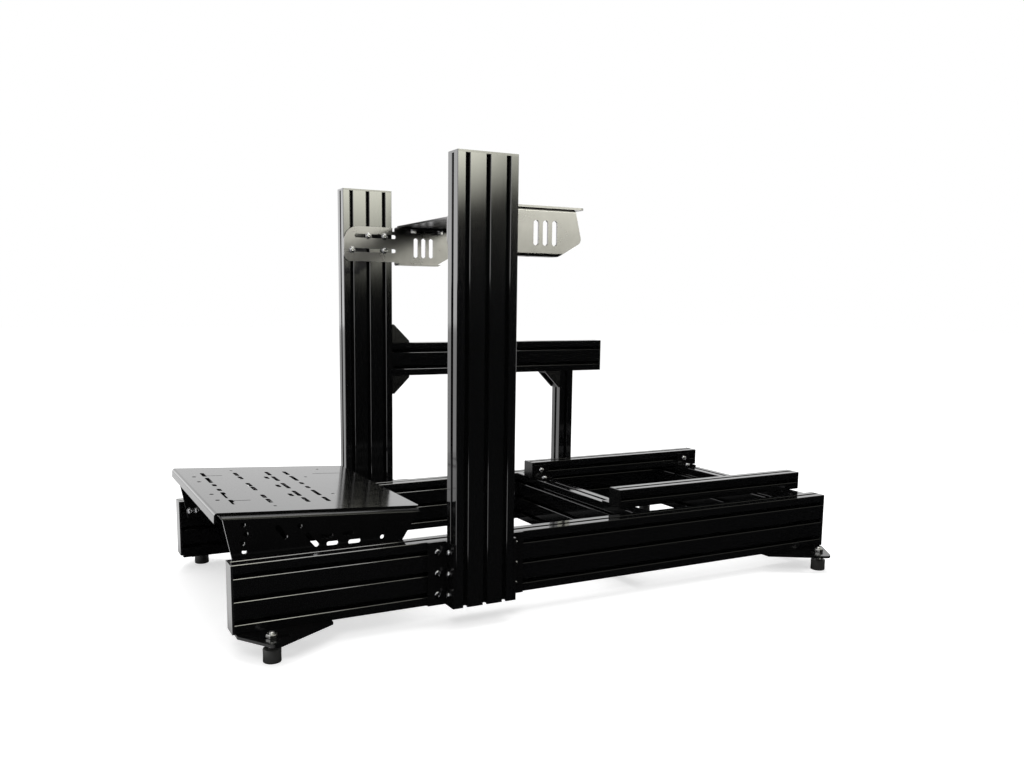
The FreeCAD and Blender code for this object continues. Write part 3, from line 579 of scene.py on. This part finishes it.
@dataclass(frozen=True)
class ButtonBolt:
    """An M8 button-head bolt with a hexagonal socket, on a plain washer.

    Attributes:
        dome: Shares of the head's radius and height at its rings.
        socket_reach: Half the socket's width across its corners.
        socket_rim: Width of the bevel about the socket.
        socket_draft: Share of the socket's width that its bottom has.
        socket_tip: Depth of the cone under the socket, and the share at its point.
        turn_step: Turn from one bolt to the next, in radians.
        limit: Edges that turn by more degrees stay sharp.
    """

    head_radius: float = 7.0 * MM
    head_height: float = 4.4 * MM
    dome: Pairs = (
        (0.97, 0.0), (1.0, 0.2), (0.92978, 0.56319), (0.77051, 0.80833), (0.58779, 0.9391),
        (0.42578, 0.99015))
    socket_reach: float = 2.9 * MM
    socket_rim: float = 0.7 * MM
    socket_depth: float = 2.8 * MM
    socket_draft: float = 0.97
    socket_tip: Pair = (0.5 * MM, 0.15)
    washer_radius: float = 8.0 * MM
    washer_height: float = 1.5 * MM
    washer_edge: float = 0.2 * MM
    segments: int = 24
    turn_step: float = 0.7
    limit: float = 35.0

    def head(self, mesh: BMesh, lift: float) -> None:
        """Adds a domed head with its socket.

        Args:
            mesh: The mesh that takes it.
            lift: Height of the head's underside.
        """
        dome = [(self.head_radius * across, lift + self.head_height * up)
                for across, up in self.dome]
        top = stack(mesh, dome, self.segments)
        rim = grow(mesh, top, 0.0, (self.socket_reach + self.socket_rim) / dome[-1][0])
        self.make_hexagonal(rim)
        floor = grow(mesh, rim, -self.socket_depth, self.socket_draft)
        tip_depth, tip_share = self.socket_tip
        grow(mesh, floor, -tip_depth, tip_share)

    def make_hexagonal(self, face: BMFace) -> None:
        """Moves a round face's points onto the socket's hexagon.

        Args:
            face: The face on top of the head.
        """
        flat = self.socket_reach * math.cos(math.pi / 6)
        for vertex in face.verts:
            angle = math.atan2(vertex.co.y, vertex.co.x)
            beside = (angle + math.pi / 6) % (math.pi / 3) - math.pi / 6
            reach = flat / math.cos(beside)
            vertex.co.x, vertex.co.y = reach * math.cos(angle), reach * math.sin(angle)

    def washer(self, mesh: BMesh) -> None:
        """Adds the washer with a bevelled edge."""
        reach, height, edge = self.washer_radius, self.washer_height, self.washer_edge
        stack(mesh, [(reach, 0.0), (reach, height - edge), (reach - edge, height)], self.segments)

    def build(self, name: str, seats: list[tuple[Vector, Facing]], material: Material,
              washers: bool = True) -> None:
        """Builds a set of bolts as one piece.

        Args:
            name: The piece's name.
            seats: Where each bolt sits and which way its head points.
            material: The bolts' finish.
            washers: Whether each bolt has a washer.
        """
        mesh = bmesh.new()
        if washers:
            self.washer(mesh)
        self.head(mesh, self.washer_height if washers else 0.0)
        spread_copies(mesh, [stand_at(point, facing.vector, self.turn_step * number)
                             for number, (point, facing) in enumerate(seats)])
        shown(name, mesh, material, limit=self.limit)


# Sub-assemblies


@dataclass
class SubAssembly:
    """CAD nodes that are dressed and bolted together."""

    nodes: dict[str, Object]
    finishes: Finishes
    bolt: ButtonBolt = ButtonBolt()

    def dress(self, names: list[str], material: Material) -> None:
        """Gives CAD nodes a finish.

        Args:
            names: The nodes to dress.
            material: Their finish.
        """
        for name in names:
            for slot in self.nodes[name].material_slots:
                slot.material = material
            LOG.info("%s wears %s", name, material.name)


@dataclass
class BaseFrame(SubAssembly):
    """Base rails, cross members and uprights, with the angles that join them."""

    rows: int = 3
    hole_reach: float = 20 * MM
    wall: float = 5 * MM

    def bracket_bolts(self, side: str, sign: int, end: str) -> None:
        """Rows of bolts into the rail and into the upright on an angle.

        Args:
            side: The angle's side.
            sign: The side's sign along Y.
            end: The upright's end where it stands.
        """
        low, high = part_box(f"upright_bracket_{side}_{end}")
        heel, step, endward = high.x, -1, Facing.FORWARD
        if end == "rear":
            heel, step, endward = low.x, 1, Facing.REARWARD
        rail_face = sign * inner_reach((low, high))
        seats = []
        for row in range(self.rows):
            height = low.z + UNIT / 2 + row * UNIT
            seats.append((Vector((heel + step * self.hole_reach,
                                  rail_face + sign * self.wall, height)), Facing.across(sign)))
            seats.append((Vector((heel + step * self.wall,
                                  rail_face + sign * self.hole_reach, height)), endward))
        self.bolt.build(f"upright_bolts_{side}_{end}", seats, self.finishes.bolt, washers=False)

    def build(self) -> None:
        """Builds and dresses the sub-assembly."""
        look = self.finishes
        self.dress(on_sides("base_rail"), look.extrusion[Run.ALONG])
        self.dress([f"seat_cross_member_{end}" for end in ENDS], look.extrusion[Run.ACROSS])
        self.dress(on_sides("upright"), look.extrusion[Run.UPRIGHT])
        self.dress(on_sides("base_rail_caps") + on_sides("upright_cap"), look.cap)
        self.dress(at_corners("upright_bracket"), look.plate)
        for side, sign in SIDES:
            for end in ENDS:
                self.bracket_bolts(side, sign, end)


@dataclass
class WheelDeck(SubAssembly):
    """The deck between the uprights, its side plates and their bolts.

    Attributes:
        slot_bolts: The bolts in a side plate, from its front and its lower edge.
        plate_bolts: The screws in the deck's plate, from its front edge.
        bolt_inset: How far those screws are inside its side edges.
    """

    flat_bolt: ButtonBolt = ButtonBolt(head_height=0.7 * MM, socket_depth=0.5 * MM)
    wall: float = 4 * MM
    slot_bolts: Pairs = (
        (60 * MM, 67 * MM), (100 * MM, 67 * MM), (20 * MM, 34 * MM), (100 * MM, 34 * MM))
    plate_bolts: tuple[float, ...] = (38 * MM, 108 * MM)
    bolt_inset: float = 13 * MM
    nut_flats: float = 13 * MM
    nut_height: float = 6.5 * MM

    def side_bolts(self) -> None:
        """Four bolts through each side plate's slots into its upright."""
        for side, sign in SIDES:
            low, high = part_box(f"wheel_side_plate_{side}")
            face = sign * (outer_reach((low, high)) - self.wall)
            seats = [(Vector((low.x + along, face, low.z + up)), Facing.across(-sign))
                     for along, up in self.slot_bolts]
            self.bolt.build(f"wheel_side_bolts_{side}", seats, self.finishes.bolt)

    def deck_bolts(self) -> None:
        """Two screws at each side of the deck's plate, with nuts under the flange."""
        low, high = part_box("wheel_deck_plate")
        for side, sign in SIDES:
            across = sign * (high.y - self.bolt_inset)
            seats = [(Vector((low.x + along, across, high.z)), Facing.UP)
                     for along in self.plate_bolts]
            self.flat_bolt.build(f"wheel_deck_screws_{side}", seats, self.finishes.bolt,
                                 washers=False)
            mesh = bmesh.new()
            self.bolt.washer(mesh)
            hex_nut(mesh, self.nut_flats, self.bolt.washer_height, self.nut_height)
            spread_copies(mesh, [stand_at(Vector((low.x + along, across, low.z - self.wall)),
                                          Facing.DOWN.vector) for along in self.plate_bolts])
            shown(f"wheel_deck_nuts_{side}", mesh, self.finishes.bolt)

    def build(self) -> None:
        """Builds and dresses the sub-assembly."""
        self.dress(["wheel_deck_plate", *on_sides("wheel_side_plate")], self.finishes.deck)
        self.side_bolts()
        self.deck_bolts()


@dataclass
class PedalDeck(SubAssembly):
    """The sloping pedal plate, its brackets and their bolts.

    Attributes:
        stations: The brackets' bolts, from the rails' front ends.
        bolt_drop: How far those bolts are under the rails' tops.
    """

    wall: float = 5 * MM
    stations: tuple[float, ...] = (19 * MM, 34 * MM, 262 * MM, 277 * MM)
    bolt_drop: float = 20 * MM

    def build(self) -> None:
        """Builds and dresses the sub-assembly."""
        self.dress(["pedal_plate"], self.finishes.pedals)
        self.dress(on_sides("pedal_bracket"), self.finishes.plate)
        for side, sign in SIDES:
            low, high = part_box(f"base_rail_{side}")
            face = sign * (inner_reach((low, high)) - self.wall)
            seats = [(Vector((low.x + along, face, high.z - self.bolt_drop)),
                      Facing.across(-sign)) for along in self.stations]
            self.bolt.build(f"pedal_bracket_bolts_{side}", seats, self.finishes.bolt)


@dataclass
class SeatRails(SubAssembly):
    """The two seat rails and the small angles that hold them down."""

    bolt: ButtonBolt = ButtonBolt(head_radius=6.6 * MM)
    wall: float = 4 * MM
    hole_reach: float = 20 * MM

    def build(self) -> None:
        """Builds and dresses the sub-assembly."""
        look = self.finishes
        self.dress(on_sides("seat_rail"), look.extrusion[Run.ALONG])
        self.dress(on_sides("seat_rail_caps"), look.dull_cap)
        self.dress(at_corners("seat_rail_bracket"), look.plate)
        for side, sign in SIDES:
            seats = []
            for end in ENDS:
                low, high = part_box(f"seat_rail_bracket_{side}_{end}")
                heel = outer_reach((low, high))
                middle = (low.x + high.x) / 2
                seats.append((Vector((middle, sign * (heel - self.wall),
                                      low.z + self.hole_reach)), Facing.across(-sign)))
                seats.append((Vector((middle, sign * (heel - self.hole_reach),
                                      low.z + self.wall)), Facing.UP))
            self.bolt.build(f"seat_rail_bolts_{side}", seats, look.bolt, washers=False)


@dataclass
class ShifterSupport(SubAssembly):
    """The shifter arm on its post, with three gussets."""

    gusset_wall: float = 4.5 * MM

    def gusset_bolts(self, name: str, level: Facing, upright: Facing) -> None:
        """Two bolts inside a gusset, one through each leg.

        Args:
            name: The gusset's node.
            level: The way the bolt on its level leg faces.
            upright: The way the bolt on its upright leg faces.
        """
        low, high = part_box(name)
        centre = (low + high) / 2
        leg = (high.x - low.x + self.gusset_wall) / 2
        corner = Vector((low.x if upright.vector.x > 0 else high.x, centre.y,
                         low.z if level.vector.z > 0 else high.z))
        seats = [
            (corner + upright.vector * leg + level.vector * self.gusset_wall, level),
            (corner + level.vector * leg + upright.vector * self.gusset_wall, upright)]
        self.bolt.build(f"{name}_bolts", seats, self.finishes.bolt)

    def build(self) -> None:
        """Builds and dresses the sub-assembly."""
        look = self.finishes
        self.dress(["shifter_arm"], look.extrusion[Run.ALONG])
        self.dress(["shifter_post"], look.extrusion[Run.UPRIGHT])
        self.dress(["shifter_arm_cap"], look.dull_cap)
        for place, level, upright in (("top", Facing.UP, Facing.REARWARD),
                                      ("bottom", Facing.DOWN, Facing.REARWARD),
                                      ("post", Facing.DOWN, Facing.FORWARD)):
            gusset = f"shifter_gusset_{place}"
            self.dress([gusset], look.gusset)
            self.gusset_bolts(gusset, level, upright)


@dataclass
class Feet(SubAssembly):
    """Outrigger plates with their bolts, and the leveling feet that stand under them.

    Attributes:
        bolt_stations: The plates' bolts, from either end of a rail.
        pad_rings: Radius and height of the rings of a rubber pad.
        pad_dish: Share of a pad's top that is dished, its depth, and its share at the bottom.
        stud_foot: Height at which a stud starts, inside its pad.
        thread: Shares of the pitch and of the radius at a crest and at a root.
        stud_ends: Shares of the radius at a stud's lower and upper end.
    """

    bolt: ButtonBolt = ButtonBolt(washer_height=1.0 * MM)
    bolt_stations: tuple[float, ...] = (25 * MM, 140 * MM)
    plate_bottom: float = 36.5 * MM
    plate_wall: float = 5 * MM
    pad_radius: float = 15.5 * MM
    pad_rings: Pairs = (
        (13.9 * MM, 0.0), (15 * MM, 0.5 * MM), (15.5 * MM, 1.8 * MM), (15.2 * MM, 12 * MM),
        (15.5 * MM, 21.8 * MM), (14.9 * MM, 23.3 * MM), (13.7 * MM, 24 * MM))
    pad_dish: Triple = (0.72, 0.6 * MM, 0.96)
    pad_segments: int = 40
    stud_radius: float = 5 * MM
    stud_foot: float = 23.4 * MM
    stud_top: float = 52 * MM
    stud_ends: Pair = (0.9, 0.8)
    stud_segments: int = 24
    thread_pitch: float = 1.5 * MM
    thread: Pairs = ((0.45, 1.0), (0.95, 0.88))
    nut_flats: float = 17 * MM
    nut_height: float = 6.5 * MM

    def plate_bolts(self, side: str, sign: int) -> None:
        """Two bolts up through each outrigger plate into the rail above it.

        Args:
            side: The rail's side.
            sign: The side's sign along Y.
        """
        low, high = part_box(f"base_rail_{side}")
        across = sign * (abs(low.y) + abs(high.y)) / 2
        stations = [low.x + start for start in self.bolt_stations]
        stations += [high.x - start for start in self.bolt_stations]
        seats = [(Vector((along, across, self.plate_bottom)), Facing.DOWN) for along in stations]
        self.bolt.build(f"foot_plate_bolts_{side}", seats, self.finishes.bolt)

    def pad(self) -> BMesh:
        """One rubber pad, slightly waisted, with rounded rims.

        Returns:
            Its mesh about the foot's axis.
        """
        mesh = bmesh.new()
        top = stack(mesh, self.pad_rings, self.pad_segments)
        share, depth, bottom = self.pad_dish
        grow(mesh, grow(mesh, top, 0.0, share), -depth, bottom)
        return mesh

    def stud(self) -> BMesh:
        """One threaded stud, with its thread as close rings.

        Returns:
            Its mesh about the foot's axis.
        """
        foot, tip = self.stud_ends
        profile = [(self.stud_radius * foot, self.stud_foot)]
        for turn in range(int((self.stud_top - self.stud_foot) / self.thread_pitch)):
            for rise, reach in self.thread:
                profile.append((self.stud_radius * reach,
                                self.stud_foot + (turn + rise) * self.thread_pitch))
        profile.append((self.stud_radius * tip, self.stud_top))
        mesh = bmesh.new()
        stack(mesh, profile, self.stud_segments)
        return mesh

    def nuts(self) -> BMesh:
        """A nut under the plate and a nut on it.

        Returns:
            Their mesh about the foot's axis.
        """
        mesh = bmesh.new()
        for bottom in (self.plate_bottom - self.nut_height, self.plate_bottom + self.plate_wall):
            hex_nut(mesh, self.nut_flats, bottom, self.nut_height)
        return mesh

    def build(self) -> None:
        """Builds and dresses the sub-assembly."""
        look = self.finishes
        self.dress(at_corners("foot_plate"), look.plate)
        for side, sign in SIDES:
            self.plate_bolts(side, sign)
            node = f"leveling_feet_{side}"
            low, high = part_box(node)
            across = (low.y + high.y) / 2
            places = [Matrix.Translation((along, across, 0.0))
                      for along in (low.x + self.pad_radius, high.x - self.pad_radius)]
            for name, mesh, material, slot, limit in (
                    ("rubber_feet", self.pad(), look.rubber, "foot_rubber", 40.0),
                    ("foot_studs", self.stud(), look.stud, "coated_steel", 30.0),
                    ("foot_nuts", self.nuts(), look.stud, "coated_steel", None)):
                spread_copies(mesh, places)
                piece = shown(f"{name}_{side}", mesh, material, limit)
                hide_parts(node)


# Studio


def bare_material(name: str) -> Material:
    """Makes a material without any nodes.

    Args:
        name: The material's name.

    Returns:
        The material.
    """
    material = bpy.data.materials.new(name)
    material.use_nodes = True
    material.node_tree.nodes.clear()
    return material


@dataclass(frozen=True)
class ViewPoint:
    """The photograph's camera, fitted to the frame's edges.

    Attributes:
        yaw: How far it turns from +Y towards +X, in radians.
        pitch: How far it looks down, in radians.
        roll: How far it leans, in radians.
        focal_share: Its focal length over the picture's width.
        centre: The optical centre in pixels, from the picture's upper left.
        size: The picture's width and height in pixels.
        film: Width of its sensor in millimetres.
    """

    place: Triple = (-0.96418, -1.78323, 0.59409)
    yaw: float = 0.4735
    pitch: float = 0.1364
    roll: float = 0.0091
    focal_share: float = 912.2319 / 1024
    centre: Pair = (486.1385, 429.3096)
    size: tuple[int, int] = (1024, 780)
    film: float = 36.0

    def build(self) -> None:
        """Makes the camera."""
        turn, tip, lean = self.yaw, self.pitch, self.roll
        ahead = Vector((math.sin(turn) * math.cos(tip), math.cos(turn) * math.cos(tip),
                        -math.sin(tip)))
        level = Vector((math.cos(turn), -math.sin(turn), 0.0))
        raised = level.cross(ahead)
        right = math.cos(lean) * level + math.sin(lean) * raised
        above = -math.sin(lean) * level + math.cos(lean) * raised
        frame = Matrix((right, above, -ahead)).transposed().to_4x4()
        data = bpy.data.cameras.new("photo_camera")
        data.sensor_width = self.film
        data.sensor_fit = "HORIZONTAL"
        data.lens = self.film * self.focal_share
        width, height = self.size
        data.shift_x = (width / 2 - self.centre[0]) / width
        data.shift_y = (self.centre[1] - height / 2) / width
        camera = bpy.data.objects.new("photo_camera", data)
        camera.matrix_world = Matrix.Translation(Vector(self.place)) @ frame
        bpy.context.scene.collection.objects.link(camera)
        bpy.context.scene.camera = camera


@dataclass(frozen=True)
class SoftLamp:
    """A square soft lamp that looks at the frame's middle, with its power in watts."""

    name: str
    place: Triple
    size: float
    power: float
    aim: Triple = (0.0, 0.0, 0.3)

    def build(self) -> None:
        """Makes the lamp."""
        data = bpy.data.lights.new(self.name, "AREA")
        data.shape = "SQUARE"
        data.size = self.size
        data.energy = self.power
        lamp = bpy.data.objects.new(self.name, data)
        aim = Vector(self.aim) - Vector(self.place)
        turn = aim.to_track_quat("-Z", "Y").to_matrix().to_4x4()
        lamp.matrix_world = Matrix.Translation(self.place) @ turn
        lamp.visible_camera = False
        bpy.context.scene.collection.objects.link(lamp)


@dataclass(frozen=True)
class Studio:
    """A white floor and background, soft lamps, and the bright and dark fields that metal shows.

    Attributes:
        floor_size: Side of the floor.
        floor_white: The floor's diffuse white.
        floor_glow: The floor's own strength to the camera, under its lit white.
        plain_light: Strength of the world's even light.
        background: Strength of the white background behind and beside the frame.
        back_starts: Where that background starts and is full, towards +Y.
        left_starts: Where it starts and is full at the left, towards -X.
        left_rises: Where it begins to brighten, and where it is twice as bright, towards -X.
        bright_field: Strength of the bright field ahead of the frame.
        field_tint: The field's colour.
        field_reach: The least way ahead over which a direction's slopes are taken.
        field_starts: Slopes to the right, and the rise at which the field starts there.
        field_widths: Slopes to the right, and the rise over which it then comes to its full.
        field_fades: Heights as sines, and the field's share of its strength there.
        field_sides: Slopes to the right, and the field's share of its strength there.
        background_fades: Heights as sines, and the background's share of its strength there.
        dark_card: Width and height of a dark card that stands before the field.
        dark_card_place: The middle of that card's lower edge.
        floor_behind: Where the floor's painted shade in glossy surfaces ends behind the frame, and
            where the floor shows fully.
        floor_left: Where that painted shade ends at the left, towards -X.
        floor_right: Where it ends at the right, behind the frame's middle.
        floor_middle: Where the floor at the right starts, towards +Y.
        lamps: The soft lamps.
    """

    floor_size: float = 40.0
    floor_white: float = 0.75
    floor_glow: float = 0.56
    plain_light: float = 0.65
    background: float = 1.1
    back_starts: Pair = (-0.15, 0.1)
    left_starts: Pair = (0.5, 0.75)
    left_rises: Pair = (0.05, 0.3)
    bright_field: float = 13.0
    field_tint: Triple = (1.0, 1.0, 0.86)
    field_reach: float = 0.05
    field_starts: Pairs = (
        (0.385, 0.028), (0.4, 0.095), (0.47, 0.108), (0.496, 0.111), (0.531, 0.13),
        (0.575, 0.13), (0.595, 0.05))
    field_widths: Pairs = (
        (0.385, 0.105), (0.4, 0.06), (0.47, 0.0775), (0.496, 0.0775), (0.531, 0.06),
        (0.595, 0.1))
    field_fades: Pairs = (
        (0.0, 0.72), (0.2, 0.72), (0.3, 0.65), (0.45, 0.4), (0.55, 0.08), (0.84, 0.08),
        (0.9, 0.5), (1.0, 0.5))
    field_sides: Pairs = (
        (0.0, 0.2), (0.25, 0.3), (0.33, 0.92), (0.39, 0.92), (0.47, 0.96), (0.5, 0.96),
        (0.531, 0.61), (0.57, 0.6), (0.6, 0.85), (0.66, 1.0), (0.75, 0.85), (0.9, 0.25),
        (1.0, 0.25))
    background_fades: Pairs = ((0.0, 1.0), (0.35, 1.0), (0.6, 0.35), (1.0, 0.25))
    dark_card: Pair = (6.0, 1.2)
    dark_card_place: Triple = (0.5, -1.1, -0.53)
    floor_behind: Pair = (0.33, 0.7)
    floor_left: Pair = (0.66, 0.72)
    floor_right: Pair = (0.8, 1.1)
    floor_middle: Pair = (-0.3, 0.1)
    lamps: tuple[SoftLamp, ...] = (
        SoftLamp("top_softbox", (0.2, 0.3, 3.2), 2.6, 60.0),
        SoftLamp("front_softbox", (-1.6, -2.6, 2.6), 1.2, 30.0))

    @staticmethod
    def eased(tree: NodeTree, value: NodeSocket, span: Pair) -> NodeSocket:
        """A smooth step from 0 to 1, from a span's start to its end."""
        return add_node(tree, "ShaderNodeMapRange",
                        {"From Min": span[0], "From Max": span[1], "Value": value},
                        interpolation_type="SMOOTHSTEP").outputs["Result"]

    @staticmethod
    def graded(tree: NodeTree, value: NodeSocket, stops: Pairs) -> NodeSocket:
        """A number that follows stops along a value between 0 and 1.

        Args:
            tree: The tree that takes the node.
            value: The value.
            stops: Places along the value and the numbers there.

        Returns:
            The number.
        """
        ramp = add_node(tree, "ShaderNodeValToRGB", {"Fac": value})
        marks = ramp.color_ramp.elements
        while len(marks) < len(stops):
            marks.new(1.0)
        for mark, (where, number) in zip(marks, stops):
            mark.position = where
            mark.color = (number, number, number, 1.0)
        return ramp.outputs["Color"]

    def field_ahead(self, tree: NodeTree, direction: list[NodeSocket]) -> NodeSocket:
        """The field ahead of the frame: dark low down, with a dark gap, and bright above it.

        Args:
            tree: The world's tree.
            direction: The direction's X, Y and Z.

        Returns:
            The field's strength.
        """
        x, y, z = direction
        along = math_node(tree, "MAXIMUM", math_node(tree, "MULTIPLY", y, -1.0), self.field_reach)
        slope = math_node(tree, "DIVIDE", x, along, clamp=True)
        rise = math_node(tree, "DIVIDE", z, along)
        above = math_node(tree, "SUBTRACT", rise, self.graded(tree, slope, self.field_starts))
        share = math_node(tree, "DIVIDE", above, self.graded(tree, slope, self.field_widths),
                          clamp=True)
        faded = math_node(tree, "MULTIPLY", share, self.graded(tree, z, self.field_fades))
        sided = math_node(tree, "MULTIPLY", faded, self.graded(tree, slope, self.field_sides))
        return math_node(tree, "MULTIPLY", sided, self.bright_field)

    def seen_in_gloss(self, tree: NodeTree) -> tuple[NodeSocket, NodeSocket]:
        """What glossy surfaces show: the field ahead, and white behind and at the left.

        Args:
            tree: The world's tree.

        Returns:
            Its strength, and how far white has replaced the field.
        """
        direction = axes(tree, add_node(tree, "ShaderNodeTexCoord").outputs["Generated"])
        x, y, z = direction
        leftward = math_node(tree, "MULTIPLY", x, -1.0)
        replaced = math_node(tree, "MAXIMUM", self.eased(tree, y, self.back_starts),
                             self.eased(tree, leftward, self.left_starts))
        gain = math_node(tree, "MULTIPLY", self.eased(tree, leftward, self.left_rises),
                         self.background)
        white = math_node(tree, "MULTIPLY", math_node(tree, "ADD", gain, self.background),
                          self.graded(tree, z, self.background_fades))
        blend = add_node(tree, "ShaderNodeMix", {
            "A": self.field_ahead(tree, direction), "B": white, "Factor": replaced},
            data_type="FLOAT")
        return blend.outputs["Result"], replaced

    def world(self) -> None:
        """White to the camera and through glass, plain to diffuse rays, and fields to gloss."""
        world = bpy.data.worlds.new("studio_world")
        bpy.context.scene.world = world
        world.use_nodes = True
        tree = world.node_tree
        tree.nodes.clear()
        rays = add_node(tree, "ShaderNodeLightPath").outputs
        strength, replaced = self.seen_in_gloss(tree)
        shine = math_node(tree, "MULTIPLY", strength, rays["Is Glossy Ray"])
        seen = math_node(tree, "MAXIMUM", rays["Is Camera Ray"], rays["Is Transmission Ray"])
        plain = math_node(tree, "MULTIPLY", rays["Is Diffuse Ray"], self.plain_light)
        tinted = math_node(tree, "MULTIPLY", rays["Is Glossy Ray"],
                           math_node(tree, "SUBTRACT", 1.0, replaced))
        light = add_node(tree, "ShaderNodeBackground", {
            "Color": mixed(tree, (1.0, 1.0, 1.0, 1.0), (*self.field_tint, 1.0), tinted),
            "Strength": math_node(tree, "ADD", math_node(tree, "ADD", shine, plain), seen)})
        add_node(tree, "ShaderNodeOutputWorld", {"Surface": light.outputs[0]})

    def stand(self, name: str, size: Pair, place: Matrix, material: Material) -> Object:
        """Makes a flat rectangle on the stage.

        Args:
            name: Its name.
            size: Its width and its length.
            place: Where it lies or stands.
            material: Its material.

        Returns:
            The rectangle.
        """
        mesh = bmesh.new()
        bmesh.ops.create_grid(mesh, x_segments=1, y_segments=1, size=0.5)
        bmesh.ops.scale(mesh, verts=mesh.verts, vec=(*size, 1.0))
        bmesh.ops.transform(mesh, verts=mesh.verts, matrix=place)
        data = bpy.data.meshes.new(name)
        mesh.to_mesh(data)
        mesh.free()
        data.materials.append(material)
        piece = bpy.data.objects.new(name, data)
        bpy.context.scene.collection.objects.link(piece)
        return piece

    def floor_gloss_painted_shade(self, tree: NodeTree) -> NodeSocket:
        """How bright glossy surfaces show the floor, with painted shade under and ahead of the
        frame.

        Args:
            tree: The floor's tree.

        Returns:
            The floor's strength there.
        """
        x, y, _ = axes(tree, object_place(tree))
        behind = self.eased(tree, y, self.floor_behind)
        left = self.eased(tree, math_node(tree, "MULTIPLY", x, -1.0), self.floor_left)
        right = math_node(tree, "MULTIPLY", self.eased(tree, x, self.floor_right),
                          self.eased(tree, y, self.floor_middle))
        most = math_node(tree, "MAXIMUM", math_node(tree, "MAXIMUM", behind, left), right)
        return math_node(tree, "MULTIPLY", most, self.background)

    def floor(self) -> None:
        """Lays a white floor that keeps the soft shadow."""
        material = bare_material("white_floor")
        tree = material.node_tree
        rays = add_node(tree, "ShaderNodeLightPath").outputs
        matt = add_node(tree, "ShaderNodeBsdfDiffuse", {"Color": (*[self.floor_white] * 3, 1.0)})
        glow = add_node(tree, "ShaderNodeEmission", {
            "Strength": math_node(tree, "MULTIPLY", rays["Is Camera Ray"], self.floor_glow)})
        both = add_node(tree, "ShaderNodeAddShader", {0: matt.outputs[0], 1: glow.outputs[0]})
        # In glossy rays the floor is an emission with painted shade: dark under and ahead of the
        # frame, white elsewhere.
        shine = add_node(tree, "ShaderNodeEmission", {"Strength": self.floor_gloss_painted_shade(tree)})
        chosen = add_node(tree, "ShaderNodeMixShader", {
            0: rays["Is Glossy Ray"], 1: both.outputs[0], 2: shine.outputs[0]})
        add_node(tree, "ShaderNodeOutputMaterial", {"Surface": chosen.outputs[0]})
        self.stand("floor", (self.floor_size, self.floor_size), Matrix(), material)

    def card(self) -> None:
        """Stands a dark card ahead of the frame that only glossy surfaces show."""
        material = bare_material("dark_card")
        tree = material.node_tree
        dark = add_node(tree, "ShaderNodeEmission", {"Strength": 0.0})
        add_node(tree, "ShaderNodeOutputMaterial", {"Surface": dark.outputs[0]})
        middle = Vector(self.dark_card_place) + Vector((0.0, 0.0, self.dark_card[1] / 2))
        place = Matrix.Translation(middle) @ Matrix.Rotation(math.pi / 2, 4, "X")
        card = self.stand("dark_card", self.dark_card, place, material)
        for ray in ("camera", "diffuse", "shadow", "transmission", "volume_scatter"):
            setattr(card, f"visible_{ray}", False)

    def build(self) -> None:
        """Sets the world, the floor, the card, the lamps and the view."""
        self.world()
        self.floor()
        self.card()
        for lamp in self.lamps:
            lamp.build()
        bpy.context.scene.view_settings.view_transform = "Standard"


def main() -> None:
    """Builds every sub-assembly in order around the frame."""
    logging.basicConfig(level=logging.INFO, format="%(name)s: %(message)s")
    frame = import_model()
    shop = Workshop()
    shop.build()
    finishes = Finishes()
    finishes.build(shop)
    nodes = frame["nodes"]
    for part in (BaseFrame, WheelDeck, PedalDeck, SeatRails, ShifterSupport, Feet):
        part(nodes, finishes).build()
        LOG.info("%s is built", part.__name__)
    Studio().build()
    ViewPoint().build()


if __name__ == "__main__":
    main()
